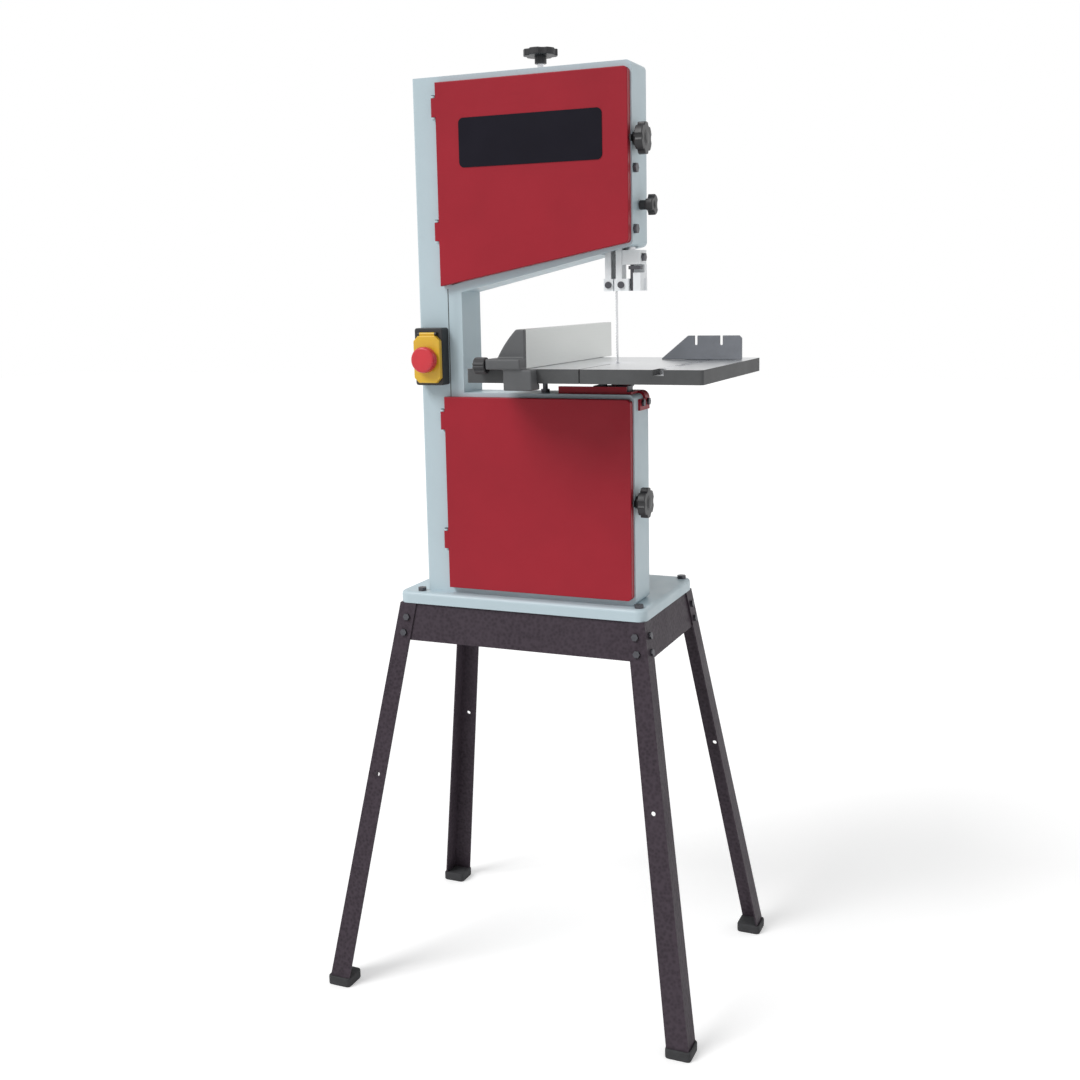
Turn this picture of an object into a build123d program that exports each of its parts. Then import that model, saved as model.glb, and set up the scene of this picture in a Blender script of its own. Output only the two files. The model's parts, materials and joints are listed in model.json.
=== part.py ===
from build123d import *
import os

os.makedirs("parts", exist_ok=True)

# A two-wheel band saw of the 250 mm class on a four-legged stand, in millimetres.
# X runs to the right along the doors, Y runs from the doors towards the motor, Z is up.
# The origin is on the floor, below the middle of the whole saw.

# ---------- Clearances ----------
run_fit = 0.05            # shaft in its hole, radial
free_gap = 0.3            # between pieces that move past each other
bolt_gap = 0.2            # bolt in its hole, radial

# ---------- Stand ----------
stand_height = 633.0
leg_splay_x = 100.0       # how far a foot stands out beyond the top, sideways
leg_splay_y = 104.0
leg_sheet = 2.5
leg_flange_top = 29.0
leg_flange_foot = 35.0
rail_height = 60.0
rail_sheet = 2.0
rail_ledge = 28.0
foot_height = 16.0
foot_lip = 3.0
leg_hole_radius = 3.5
leg_hole_drop = 280.0
leg_bolt_drops = (23.0, 48.0)
leg_bolt_inset = 17.0

# ---------- Base plate ----------
base_width = 421.0
base_depth = 246.0
base_height = 19.0
base_sheet = 2.5
base_corner = 16.0
base_rim_round = 6.0
stand_inset = 1.5         # the stand's top is this much smaller than the base
base_bolt_left = 36.0
base_bolt_right = 14.0
base_bolt_front = 14.0
base_bolt_back = 16.0

# ---------- Frame ----------
base_left_of_case = 43.0
base_front_of_case = 22.0
case_depth = 65.0
case_sheet = 2.5
spine_width = 58.0
return_gap = 9.9          # spine edge to the blade's return run
channel_gap = 7.1         # return run to the outside of its channel
case_right_margin = 37.0  # cutting run to the outside of the case
wheel_below = 158.0       # lower wheel's axle above the base plate
wheel_distance = 500.0
case_above_wheel = 143.5
lower_case_above_wheel = 163.5
under_left_drop = 185.0   # upper case's sloping floor below the upper axle, at its left
under_right_drop = 118.0
case_lip = 12.0
lip_sheet = 2.0
case_round = 8.0

# ---------- Doors ----------
door_left = 45.0          # from the spine's left side
door_right_gap = 2.1
door_top_gap = 10.0
door_bottom_gap = 9.8
door_low_top_gap = 6.3
door_under_left = 16.5    # upper door's slanting edge above the case's floor
door_under_right = 5.0
door_depth = 12.0
door_sheet = 1.5
door_round = 7.0
hinge_offset = 4.5        # pin axis to the door's edge
knuckle_radius = 3.6
knuckle_length = 28.0
hinge_pin_radius = 1.8
lug_height = 3.0
upper_hinge_heights = (569.5, 754.5)   # above the base plate
lower_hinge_heights = (87.5, 278.0)
plate_width = 231.0
plate_height = 73.0
plate_sheet = 0.8
plate_round = 8.0
plate_from_left = 39.0    # from the door's left edge
plate_from_top = 91.5     # from the door's top edge to the plate's middle

# ---------- Latches ----------
latch_radius = 23.0
latch_thickness = 12.0
latch_stem_radius = 9.5
latch_stem_length = 6.0
latch_shaft_radius = 4.0
pawl_width = 9.0
pawl_sheet = 1.6
pawl_past_door = 2.0
upper_latch_above_axle = 34.0
lower_latch_above_axle = 1.0
latch_y_inset = 9.0      # latch shaft behind the case's front
latch_washer = 2.0
latch_washer_rim = 2.5

# ---------- Wheels and blade ----------
wheel_radius = 125.0
tyre_thickness = 3.5
rim_thickness = 7.0
wheel_width = 20.0
web_thickness = 4.0
hub_radius = 21.0
hub_length = 26.0
spoke_hole_radius = 20.0
spoke_hole_count = 5
spoke_hole_circle = 68.0
bearing_radius = 16.0
bearing_width = 9.0
axle_radius = 7.5
blade_thickness = 0.6
blade_width = 10.0
blade_y = 31.0            # middle of wheels and blade, behind the case's front

# ---------- Drive ----------
wheel_pulley_radius = 48.0
motor_pulley_radius = 18.0
pulley_width = 13.0
belt_thickness = 4.0
motor_right = 30.0        # motor shaft from the lower axle
motor_down = 88.0
motor_radius = 58.0
motor_length = 140.0
motor_flange = 108.0
motor_flange_sheet = 5.0
motor_neck_radius = 50.0
motor_neck = 12.0
motor_shaft_radius = 7.0

# ---------- Tension and tracking ----------
slide_width = 64.0
slide_height = 112.0
slide_sheet = 4.0
way_width = 7.0
screw_radius = 5.0
tension_travel = 7.5
tension_knob_radius = 26.0
tension_knob_thickness = 10.0
tension_neck_radius = 9.0
tension_neck_length = 11.0
tension_rise = 14.0       # bare spindle above the case
tension_y = 52.0
tilt_y = 54.0
tracking_drop = 24.0
tracking_radius = 3.0
tracking_knob_radius = 16.0
tracking_knob_thickness = 14.0
spring_wire = 2.0
spring_turns = 6

# ---------- Guides ----------
post_radius = 7.5
post_right_of_blade = 22.0
post_y = 33.0
post_length = 205.0
guide_block_width = 29.0
guide_block_height = 21.0
guide_block_depth = 30.0
guide_block_under = 0.8   # below the case's floor
guard_plate_width = 9.5
guard_gap = 7.5
guard_sheet = 1.5
guard_height = 50.0
guard_depth = 20.0
holder_width = 40.0
holder_height = 18.0
holder_below_block = 38.5 # holder's underside below the guide block's underside
blade_slot = 2.4
guide_pin_radius = 5.0
thrust_pin_radius = 4.0
bracket_low = 108.0       # below the upper axle
bracket_high = 6.0        # above the upper axle
bracket_thickness = 22.5
bracket_plate = 5.0
bracket_bolt_drops = (94.0, 7.0)
lock_below_axle = 59.0
lock_radius = 15.0

# ---------- Table ----------
table_rise = 45.6         # table top above the lower case
table_left_of_blade = 176.0
table_right_of_blade = 180.0
table_front_of_case = 126.0
table_depth = 316.0
table_sheet = 5.0
table_edge = 20.5
table_rim = 6.0
table_rib = 5.0
insert_radius = 29.0
insert_thickness = 3.0
insert_slot_left = 1.3
insert_slot_right = 4.6
saw_cut = 2.0
mitre_right_of_blade = 116.0
mitre_groove_width = 16.0
mitre_groove_depth = 8.0
tilt_max = 45.0
arc_radius = 30.0
trunnion_radius = 38.0
trunnion_sheet = 6.0
trunnion_y = 48.3
stud_radius = 4.0
tilt_knob_radius = 12.5
strap_sheet = 3.4         # trunnion bracket's bent strap
strap_left_of_blade = 88.0
strap_drop = 25.0
strap_front = 18.0        # of its side lug, behind the case's front
strap_back = 62.0
shelf_front = 9.0         # shelf of the bracket ahead of the strap, behind the case's front
shelf_web_height = 11.0
shelf_web_right = 22.0    # right of the blade, where the tilted table comes low
shelf_notch_gap = 1.5     # round the lower guide's foot
upright_half = 12.0
upright_sheet = 6.0
guide_foot_left = 36.0    # lower guide block, left of the blade
guide_foot_right = 21.0
guide_foot_height = 11.5
guide_foot_depth = 22.0

# ---------- Fence ----------
fence_left_of_blade = 80.0
fence_thickness = 13.0
fence_height = 56.0
fence_length = 350.0
fence_wall = 2.0
fence_front_overhang = 1.0
carriage_width = 66.0
carriage_on_table = 34.0
carriage_ahead = 26.0
carriage_base = 15.0
carriage_apron_width = 44.0
carriage_hook = 9.0
gusset_thickness = 7.0
gusset_run = 30.0
fence_knob_radius = 12.0
fence_knob_length = 20.0

# ---------- Mitre gauge ----------
mitre_bar_length = 280.0
mitre_bar_front = 30.0    # bar's front end behind the table's front edge
mitre_head_y = 118.0      # fence face of the head, behind the case's front
head_left = 74.0
head_right = 53.0
head_height = 37.0
head_sheet = 5.0
head_base_depth = 40.0
head_base_sheet = 6.0
notch_width = 4.5
notch_depth = 14.0
mitre_knob_radius = 14.0

# ---------- Switch ----------
switch_width = 48.0
switch_height = 89.0
switch_depth = 22.0
switch_from_left = 2.0
switch_above_base = 334.0
flap_width = 46.0
flap_height = 73.0
flap_depth = 7.0
flap_chamfer = 8.0
stop_radius = 20.0
stop_depth = 12.0
stop_travel = 4.0
start_travel = 3.0

# ---------- Worked-out positions ----------
leg_height = stand_height - foot_height / 2
left_reach = base_left_of_case - stand_inset + leg_splay_x + foot_lip
band_radius = wheel_radius + free_gap + blade_thickness / 2
blade_from_case = spine_width + return_gap + 2 * band_radius
right_reach = blade_from_case + table_right_of_blade
front_reach = table_front_of_case + carriage_ahead
back_reach = base_depth - base_front_of_case - stand_inset + leg_splay_y + foot_lip

case_left = (left_reach - right_reach) / 2
case_front = (front_reach - back_reach) / 2
case_back = case_front + case_depth
spine_right = case_left + spine_width
blade_left_x = spine_right + return_gap
wheel_x = blade_left_x + band_radius
blade_x = wheel_x + band_radius
channel_right = blade_left_x + channel_gap
case_right = blade_x + case_right_margin
wheel_y = case_front + blade_y

base_left = case_left - base_left_of_case
base_front = case_front - base_front_of_case
base_x = base_left + base_width / 2
base_y = base_front + base_depth / 2
base_top = stand_height + base_height

lower_z = base_top + wheel_below
upper_z = lower_z + wheel_distance
case_top = upper_z + case_above_wheel
lower_case_top = lower_z + lower_case_above_wheel
table_top = lower_case_top + table_rise
table_left = blade_x - table_left_of_blade
table_right = blade_x + table_right_of_blade
table_front = case_front - table_front_of_case
table_back = table_front + table_depth

door_x0 = case_left + door_left
door_x1 = case_right - door_right_gap
door_back = case_front - free_gap
door_front = door_back - door_depth
hinge_x = door_x0 - hinge_offset
hinge_y = door_front + knuckle_radius


def floor_z(x):
    """Height of the upper case's sloping floor at a place along X."""
    share = (x - spine_right) / (case_right - spine_right)
    return upper_z - under_left_drop + share * (under_left_drop - under_right_drop)


def facing_front(y):
    """Sketch plane at a depth: local X is X, local Y is Z, and extruding comes forwards."""
    return Plane.XZ.offset(-y)


def save(builder, name):
    """Label a finished piece and write it as its own file."""
    builder.part.label = name
    export_step(builder.part, f"parts/{name}.step")


def lobed_knob(plane, radius, thickness, lobes, scallop):
    """Moulded knob: a disc with scalloped edge and softened face."""
    with BuildPart() as knob:
        with BuildSketch(plane):
            Circle(radius)
            with PolarLocations(radius + scallop * 0.55, lobes):
                Circle(scallop, mode=Mode.SUBTRACT)
        extrude(amount=thickness)
        fillet(knob.faces().sort_by(SortBy.AREA)[-2:].edges(), thickness * 0.12)
    return knob.part


# ---------- Stand ----------
def stand_half_x(drop):
    return base_width / 2 - stand_inset + leg_splay_x * drop / leg_height


def stand_half_y(drop):
    return base_depth / 2 - stand_inset + leg_splay_y * drop / leg_height


def leg_section(side_x, side_y, drop, flange):
    """Angle section of a leg at some drop below the stand's top."""
    corner_x = side_x * stand_half_x(drop)
    corner_y = side_y * stand_half_y(drop)
    with BuildSketch(Plane.XY.offset(stand_height - drop)) as section:
        with Locations((base_x + corner_x - side_x * flange / 2, base_y + corner_y - side_y * leg_sheet / 2)):
            Rectangle(flange, leg_sheet)
        with Locations((base_x + corner_x - side_x * leg_sheet / 2, base_y + corner_y - side_y * flange / 2)):
            Rectangle(leg_sheet, flange)
    return section.sketch


slope_x = leg_splay_x / leg_height
slope_y = leg_splay_y / leg_height


def flange_plane(side_x, side_y, on_front, drop, inset):
    """Plane on the outer face of a leg's front or side flange, looking outwards."""
    if on_front:
        x = base_x + side_x * (stand_half_x(drop) - inset)
        y = base_y + side_y * stand_half_y(drop)
        return Plane((x, y, stand_height - drop), x_dir=(1, 0, 0), z_dir=(0, side_y, slope_y))
    x = base_x + side_x * stand_half_x(drop)
    y = base_y + side_y * (stand_half_y(drop) - inset)
    return Plane((x, y, stand_height - drop), x_dir=(0, 1, 0), z_dir=(side_x, 0, slope_x))


stand_corners = [(-1, -1), (1, -1), (-1, 1), (1, 1)]
leg_bolt_radius = 3.0
leg_bolt_reach = 12.0
leg_bolt_head = 5.8
leg_bolt_thickness = 4.0


def bolt_planes(side_x, side_y, faces=(True, False)):
    """Bolt planes of one leg: two on its front flange and two on its side flange."""
    return [
        flange_plane(side_x, side_y, on_front, drop, leg_bolt_inset)
        for on_front in faces
        for drop in leg_bolt_drops
    ]


leg_names = {
    (-1, -1): "leg_front_left",
    (1, -1): "leg_front_right",
    (-1, 1): "leg_back_left",
    (1, 1): "leg_back_right",
}
for (side_x, side_y), leg_name in leg_names.items():
    with BuildPart() as leg:
        add(leg_section(side_x, side_y, 0, leg_flange_top))
        add(leg_section(side_x, side_y, stand_height - foot_height / 2, leg_flange_foot))
        loft()
        for bolt_plane in bolt_planes(side_x, side_y):
            with BuildSketch(bolt_plane):
                Circle(leg_bolt_radius + bolt_gap)
            extrude(amount=2 * leg_sheet, both=True, mode=Mode.SUBTRACT)
        with BuildSketch(flange_plane(side_x, side_y, True, leg_hole_drop, leg_bolt_inset)):
            Circle(leg_hole_radius)
        extrude(amount=2 * leg_sheet, both=True, mode=Mode.SUBTRACT)
    save(leg, leg_name)


def rail_section(on_front, side, drop):
    """Rail web at some drop: it lies against the inner faces of the leg flanges."""
    half_x = stand_half_x(drop) - leg_sheet
    half_y = stand_half_y(drop) - leg_sheet
    with BuildSketch(Plane.XY.offset(stand_height - drop)) as section:
        if on_front:
            with Locations((base_x, base_y + side * (half_y - rail_sheet / 2))):
                Rectangle(2 * half_x, rail_sheet)
        else:
            with Locations((base_x + side * (half_x - rail_sheet / 2), base_y)):
                Rectangle(rail_sheet, 2 * (half_y - rail_sheet))
    return section.sketch


base_bolt_spots = [
    (x, y)
    for x in (base_left + base_bolt_left, base_left + base_width - base_bolt_right)
    for y in (base_front + base_bolt_front, base_front + base_depth - base_bolt_back)
]
base_bolt_radius = 4.0
top_half_x = stand_half_x(0) - leg_sheet
top_half_y = stand_half_y(0) - leg_sheet

for on_front, rails_name in ((True, "long_rails"), (False, "short_rails")):
    with BuildPart() as rails:
        for side in (-1, 1):
            with BuildPart(mode=Mode.PRIVATE) as rail:
                add(rail_section(on_front, side, 0))
                add(rail_section(on_front, side, rail_height))
                loft()
                with BuildSketch(Plane.XY.offset(stand_height - rail_sheet)):
                    if on_front:
                        with Locations((base_x, base_y + side * (top_half_y - rail_ledge / 2))):
                            Rectangle(2 * (top_half_x - rail_sheet - free_gap), rail_ledge)
                    else:
                        with Locations((base_x + side * (top_half_x - rail_ledge / 2), base_y)):
                            Rectangle(rail_ledge, 2 * (top_half_y - rail_ledge - free_gap))
                extrude(amount=rail_sheet)
            add(rail.part)
        for side_x, side_y in stand_corners:
            for bolt_plane in bolt_planes(side_x, side_y, (on_front,)):
                with BuildSketch(bolt_plane):
                    Circle(leg_bolt_radius + bolt_gap)
                extrude(amount=-3 * leg_sheet, mode=Mode.SUBTRACT)
        with BuildSketch(Plane.XY.offset(stand_height)):
            with Locations(*base_bolt_spots):
                Circle(base_bolt_radius + bolt_gap)
        extrude(amount=-2 * rail_sheet, mode=Mode.SUBTRACT)
    save(rails, rails_name)

with BuildPart() as stand_bolts:
    for bolt_plane in [plane for corner in stand_corners for plane in bolt_planes(*corner)]:
        with BuildSketch(bolt_plane):
            RegularPolygon(leg_bolt_head, 6)
        extrude(amount=leg_bolt_thickness)
        with BuildSketch(bolt_plane):
            Circle(leg_bolt_radius)
        extrude(amount=-leg_bolt_reach)
        with BuildSketch(bolt_plane.offset(-leg_sheet - rail_sheet)):
            RegularPolygon(leg_bolt_head, 6)
        extrude(amount=-leg_bolt_thickness)
save(stand_bolts, "stand_bolts")

foot_drop = stand_height - foot_height / 2
with BuildPart() as rubber_feet:
    for side_x, side_y in stand_corners:
        corner_x = base_x + side_x * (stand_half_x(foot_drop) + foot_lip)
        corner_y = base_y + side_y * (stand_half_y(foot_drop) + foot_lip)
        size = leg_flange_foot + 2 * foot_lip
        with BuildSketch(Plane.XY):
            with Locations((corner_x - side_x * size / 2, corner_y - side_y * size / 2)):
                RectangleRounded(size, size, 6.0)
        extrude(amount=foot_height)
    for side_x, side_y in stand_corners:
        add(leg_section(side_x, side_y, stand_height - foot_height / 2, leg_flange_foot + 0.4))
        add(leg_section(side_x, side_y, stand_height - foot_height, leg_flange_foot + 0.4))
        loft(mode=Mode.SUBTRACT)
save(rubber_feet, "rubber_feet")

# ---------- Base plate ----------
with BuildPart() as base_plate:
    with BuildSketch(Plane.XY.offset(stand_height)):
        with Locations((base_x, base_y)):
            RectangleRounded(base_width, base_depth, base_corner)
    extrude(amount=base_height)
    fillet(base_plate.faces().sort_by(Axis.Z)[-1].edges(), base_rim_round)
    with BuildSketch(Plane.XY.offset(stand_height)):
        with Locations((base_x, base_y)):
            RectangleRounded(
                base_width - 2 * base_sheet, base_depth - 2 * base_sheet, base_corner - base_sheet
            )
    extrude(amount=base_height - 2 * base_sheet, mode=Mode.SUBTRACT)
    with BuildSketch(Plane.XY.offset(stand_height)):
        with Locations(*base_bolt_spots):
            Circle(base_bolt_radius + 2 * base_sheet)
    extrude(amount=base_height - 2 * base_sheet)
    with BuildSketch(Plane.XY.offset(stand_height)):
        with Locations(*base_bolt_spots):
            Circle(base_bolt_radius + bolt_gap)
    extrude(amount=base_height, mode=Mode.SUBTRACT)
save(base_plate, "base_plate")

# ---------- Frame ----------
hinge_heights = [base_top + height for height in upper_hinge_heights + lower_hinge_heights]
spine_height = case_top - base_top

with BuildPart() as column:
    with BuildSketch(Plane.XY.offset(base_top)):
        with Locations((case_left + spine_width / 2, case_front + case_depth / 2)):
            Rectangle(spine_width, case_depth)
    extrude(amount=spine_height)
    fillet(column.edges().filter_by(Axis.Z).group_by(Axis.X)[0], case_sheet + 1.5)
    with BuildSketch(Plane.XY.offset(base_top + case_sheet)):
        with Locations((case_left + case_sheet + spine_width / 2, case_front + case_depth / 2)):
            Rectangle(spine_width, case_depth - 2 * case_sheet)
    extrude(amount=spine_height - 2 * case_sheet, mode=Mode.SUBTRACT)
    for height in hinge_heights:
        for end in (-1, 1):
            low = height + end * (knuckle_length / 2 + free_gap) - (lug_height if end < 0 else 0)
            with BuildSketch(Plane.XY.offset(low)):
                with Locations((hinge_x, (hinge_y + case_front) / 2)):
                    Rectangle(2 * knuckle_radius, case_front - hinge_y)
                with Locations((hinge_x, hinge_y)):
                    Circle(knuckle_radius)
                    Circle(hinge_pin_radius, mode=Mode.SUBTRACT)
            extrude(amount=lug_height)
save(column, "column")

with BuildPart() as hinge_pins:
    for height in hinge_heights:
        pin_reach = knuckle_length / 2 + free_gap + lug_height
        with BuildSketch(Plane.XY.offset(height - pin_reach)):
            with Locations((hinge_x, hinge_y)):
                Circle(hinge_pin_radius)
        extrude(amount=2 * pin_reach)
        with BuildSketch(Plane.XY.offset(height + pin_reach)):
            with Locations((hinge_x, hinge_y)):
                Circle(hinge_pin_radius + 1.0)
        extrude(amount=1.2)
save(hinge_pins, "hinge_pins")

with BuildPart() as blade_channel:
    channel_x = (spine_right + channel_right) / 2
    channel_width = channel_right - spine_right
    with BuildSketch(Plane.XY.offset(lower_case_top)):
        with Locations((channel_x, case_front + case_depth / 2)):
            Rectangle(channel_width, case_depth)
        with Locations((channel_x - case_sheet, case_front + case_depth / 2)):
            Rectangle(channel_width, case_depth - 2 * case_sheet, mode=Mode.SUBTRACT)
    extrude(amount=floor_z(channel_right) - lower_case_top)
    with BuildSketch(facing_front(case_front - 1)):
        with BuildLine():
            Polyline(
                (spine_right - 1, floor_z(spine_right - 1)),
                (channel_right + 1, floor_z(channel_right + 1)),
                (channel_right + 1, floor_z(channel_right) + 20),
                (spine_right - 1, floor_z(channel_right) + 20),
                close=True,
            )
        make_face()
    extrude(amount=-case_depth - 2, mode=Mode.SUBTRACT)
save(blade_channel, "blade_channel")


upper_corners = [
    (spine_right, floor_z(spine_right)),
    (case_right, floor_z(case_right)),
    (case_right, case_top),
    (spine_right, case_top),
]
lower_corners = [
    (spine_right, base_top),
    (case_right, base_top),
    (case_right, lower_case_top),
    (spine_right, lower_case_top),
]


def case_shell(corners):
    """Sheet case: back, sides and an inward lip at the front, open towards the spine."""
    low_left, low_right, high_right, high_left = corners
    wall = case_sheet
    lip = case_sheet + case_lip
    with BuildPart() as shell:
        with BuildSketch(facing_front(case_back)):
            with BuildLine():
                Polyline(*corners, close=True)
            make_face()
        extrude(amount=case_depth)
        fillet(shell.edges().filter_by(Axis.Y).group_by(Axis.X)[-1], case_round)
        for inset, depth in ((wall, case_front + lip_sheet), (lip, case_front)):
            near = case_back - case_sheet if inset == wall else case_front + lip_sheet
            with BuildSketch(facing_front(near)):
                with BuildLine():
                    Polyline(
                        (low_left[0] - 1, low_left[1] + inset),
                        (low_right[0] - inset, low_right[1] + inset),
                        (high_right[0] - inset, high_right[1] - inset),
                        (high_left[0] - 1, high_left[1] - inset),
                        close=True,
                    )
                make_face()
            extrude(amount=near - depth, mode=Mode.SUBTRACT)
    return shell.part


post_x = blade_x + post_right_of_blade
post_y_at = case_front + post_y
guard_left = blade_x - guard_gap / 2 - guard_plate_width
guard_right = blade_x + guard_gap / 2 + guard_plate_width
guide_left = guard_left - 2.0
hole_front = case_front + lip_sheet + 2.0
hole_back = post_y_at + guide_block_depth / 2 - 4.0
post_hole_right = case_right - case_sheet - 3.0
bracket_bolt_y = case_front + 9.0
bracket_bolt_heights = [upper_z - drop for drop in bracket_bolt_drops]
lock_z = upper_z - lock_below_axle
lock_y = post_y_at
latch_y = case_front + latch_y_inset
latch_heights = {
    "upper_latch": upper_z + upper_latch_above_axle,
    "lower_latch": lower_z + lower_latch_above_axle,
}
tracking_z = upper_z - tracking_drop
way_x = slide_width / 2 + free_gap + way_width / 2
run_slot = 8.0                            # width of the case openings for the blade

with BuildPart() as upper_housing:
    add(case_shell(upper_corners))
    with BuildSketch(facing_front(hole_back)):
        with Locations(((guide_left + post_hole_right) / 2, floor_z(blade_x))):
            Rectangle(post_hole_right - guide_left, 2 * case_lip)
    extrude(amount=hole_back - hole_front, mode=Mode.SUBTRACT)
    with BuildSketch(facing_front(wheel_y + blade_width)):
        with Locations((blade_left_x, floor_z(blade_left_x))):
            Rectangle(run_slot, 4 * case_sheet)
    extrude(amount=2 * blade_width, mode=Mode.SUBTRACT)
    for height in bracket_bolt_heights:
        with BuildSketch(Plane.YZ.offset(case_right)):
            with Locations((bracket_bolt_y, height)):
                Circle(base_bolt_radius + bolt_gap)
        extrude(amount=-2 * case_sheet, mode=Mode.SUBTRACT)
    with BuildSketch(Plane.YZ.offset(case_right)):
        with Locations((lock_y, lock_z)):
            Circle(stud_radius + free_gap)
        with Locations((latch_y, latch_heights["upper_latch"])):
            Circle(latch_shaft_radius + run_fit)
    extrude(amount=-2 * case_sheet, mode=Mode.SUBTRACT)
    with BuildSketch(facing_front(case_back + 1)):
        with Locations((wheel_x, tracking_z - tension_travel / 2)):
            SlotCenterToCenter(tension_travel + 2, 2 * (tracking_radius + 1.5), rotation=90)
    extrude(amount=2 + case_sheet, mode=Mode.SUBTRACT)
    with BuildSketch(Plane.XY.offset(case_top)):
        with Locations((wheel_x, case_front + tension_y)):
            Circle(screw_radius + run_fit)
    extrude(amount=-2 * case_sheet, mode=Mode.SUBTRACT)
    with BuildSketch(facing_front(case_back - case_sheet)):
        with Locations((wheel_x - way_x, upper_z), (wheel_x + way_x, upper_z)):
            Rectangle(way_width, slide_height + 2 * tension_travel + 20)
    extrude(amount=slide_sheet + 3.0)
save(upper_housing, "upper_housing")

motor_x = wheel_x + motor_right
motor_z = lower_z - motor_down
motor_hole_radius = motor_shaft_radius + 5.0
motor_bolt_offset = motor_flange / 2 - 12.0
motor_bolt_spots = [
    (motor_x + side_x * motor_bolt_offset, motor_z + side_z * motor_bolt_offset)
    for side_x in (-1, 1)
    for side_z in (-1, 1)
]
motor_bolt_radius = 3.0
trunnion_bolt_spots = [
    (case_front + 29.0, lower_case_top - 13.5),
    (case_front + 53.0, lower_case_top - 13.5),
]
guide_bolt_x = blade_x - 24.0
stop_bolt_x = blade_x - 119.0
stop_bolt_y = wheel_y

with BuildPart() as lower_housing:
    add(case_shell(lower_corners))
    for x in (blade_left_x, blade_x):
        with BuildSketch(facing_front(wheel_y + blade_width)):
            with Locations((x, lower_case_top)):
                Rectangle(run_slot, 4 * case_sheet)
        extrude(amount=2 * blade_width, mode=Mode.SUBTRACT)
    with BuildSketch(Plane.XY.offset(lower_case_top)):
        with Locations((stop_bolt_x, stop_bolt_y)):
            Circle(base_bolt_radius)
        with Locations((guide_bolt_x, wheel_y)):
            Circle(base_bolt_radius + bolt_gap)
    extrude(amount=-2 * case_sheet, mode=Mode.SUBTRACT)
    with BuildSketch(Plane.YZ.offset(case_right)):
        with Locations(*trunnion_bolt_spots):
            Circle(motor_bolt_radius + bolt_gap)
        with Locations((latch_y, latch_heights["lower_latch"])):
            Circle(latch_shaft_radius + run_fit)
    extrude(amount=-2 * case_sheet, mode=Mode.SUBTRACT)
    with BuildSketch(facing_front(case_back)):
        with Locations((wheel_x, lower_z)):
            Circle(axle_radius)
        with Locations((motor_x, motor_z)):
            Circle(motor_hole_radius)
        with Locations(*motor_bolt_spots):
            Circle(motor_bolt_radius + bolt_gap)
    extrude(amount=case_sheet, mode=Mode.SUBTRACT)
save(lower_housing, "lower_housing")

# ---------- Doors ----------
door_top = case_top - door_top_gap
upper_door_corners = [
    (door_x0, floor_z(door_x0) + door_under_left),
    (door_x1, floor_z(door_x1) + door_under_right),
    (door_x1, door_top),
    (door_x0, door_top),
]
lower_door_corners = [
    (door_x0, base_top + door_bottom_gap),
    (door_x1, base_top + door_bottom_gap),
    (door_x1, lower_case_top - door_low_top_gap),
    (door_x0, lower_case_top - door_low_top_gap),
]
edge_round = 1.4


def door_pan(corners, heights):
    """Shallow sheet pan with two hinge knuckles rolled from tabs on its left edge."""
    low_left, low_right, high_right, high_left = corners
    with BuildPart() as pan:
        with BuildSketch(facing_front(door_back)):
            with BuildLine():
                Polyline(*corners, close=True)
            make_face()
        extrude(amount=door_depth)
        fillet(pan.edges().filter_by(Axis.Y).group_by(Axis.X)[-1], door_round)
        fillet(pan.faces().sort_by(Axis.Y)[0].edges(), edge_round)
        with BuildSketch(facing_front(door_back)):
            with BuildLine():
                Polyline(
                    (low_left[0] + door_sheet, low_left[1] + door_sheet),
                    (low_right[0] - door_sheet, low_right[1] + door_sheet),
                    (high_right[0] - door_sheet, high_right[1] - door_sheet),
                    (high_left[0] + door_sheet, high_left[1] - door_sheet),
                    close=True,
                )
            make_face()
        extrude(amount=door_depth - door_sheet, mode=Mode.SUBTRACT)
        for height in heights:
            with BuildSketch(Plane.XY.offset(height - knuckle_length / 2)):
                with Locations(((hinge_x + door_x0 + 3) / 2, door_front + door_sheet / 2)):
                    Rectangle(door_x0 + 3 - hinge_x, door_sheet)
                with Locations((hinge_x, hinge_y)):
                    Circle(knuckle_radius)
                    Circle(hinge_pin_radius + run_fit, mode=Mode.SUBTRACT)
            extrude(amount=knuckle_length)
    return pan.part


with BuildPart() as upper_door:
    add(door_pan(upper_door_corners, hinge_heights[:2]))
save(upper_door, "upper_door")

with BuildPart() as lower_door:
    add(door_pan(lower_door_corners, hinge_heights[2:]))
save(lower_door, "lower_door")

with BuildPart() as name_plate:
    with BuildSketch(facing_front(door_front)):
        with Locations((door_x0 + plate_from_left + plate_width / 2, door_top - plate_from_top)):
            RectangleRounded(plate_width, plate_height, plate_round)
    extrude(amount=plate_sheet)
save(name_plate, "name_plate")

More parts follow.
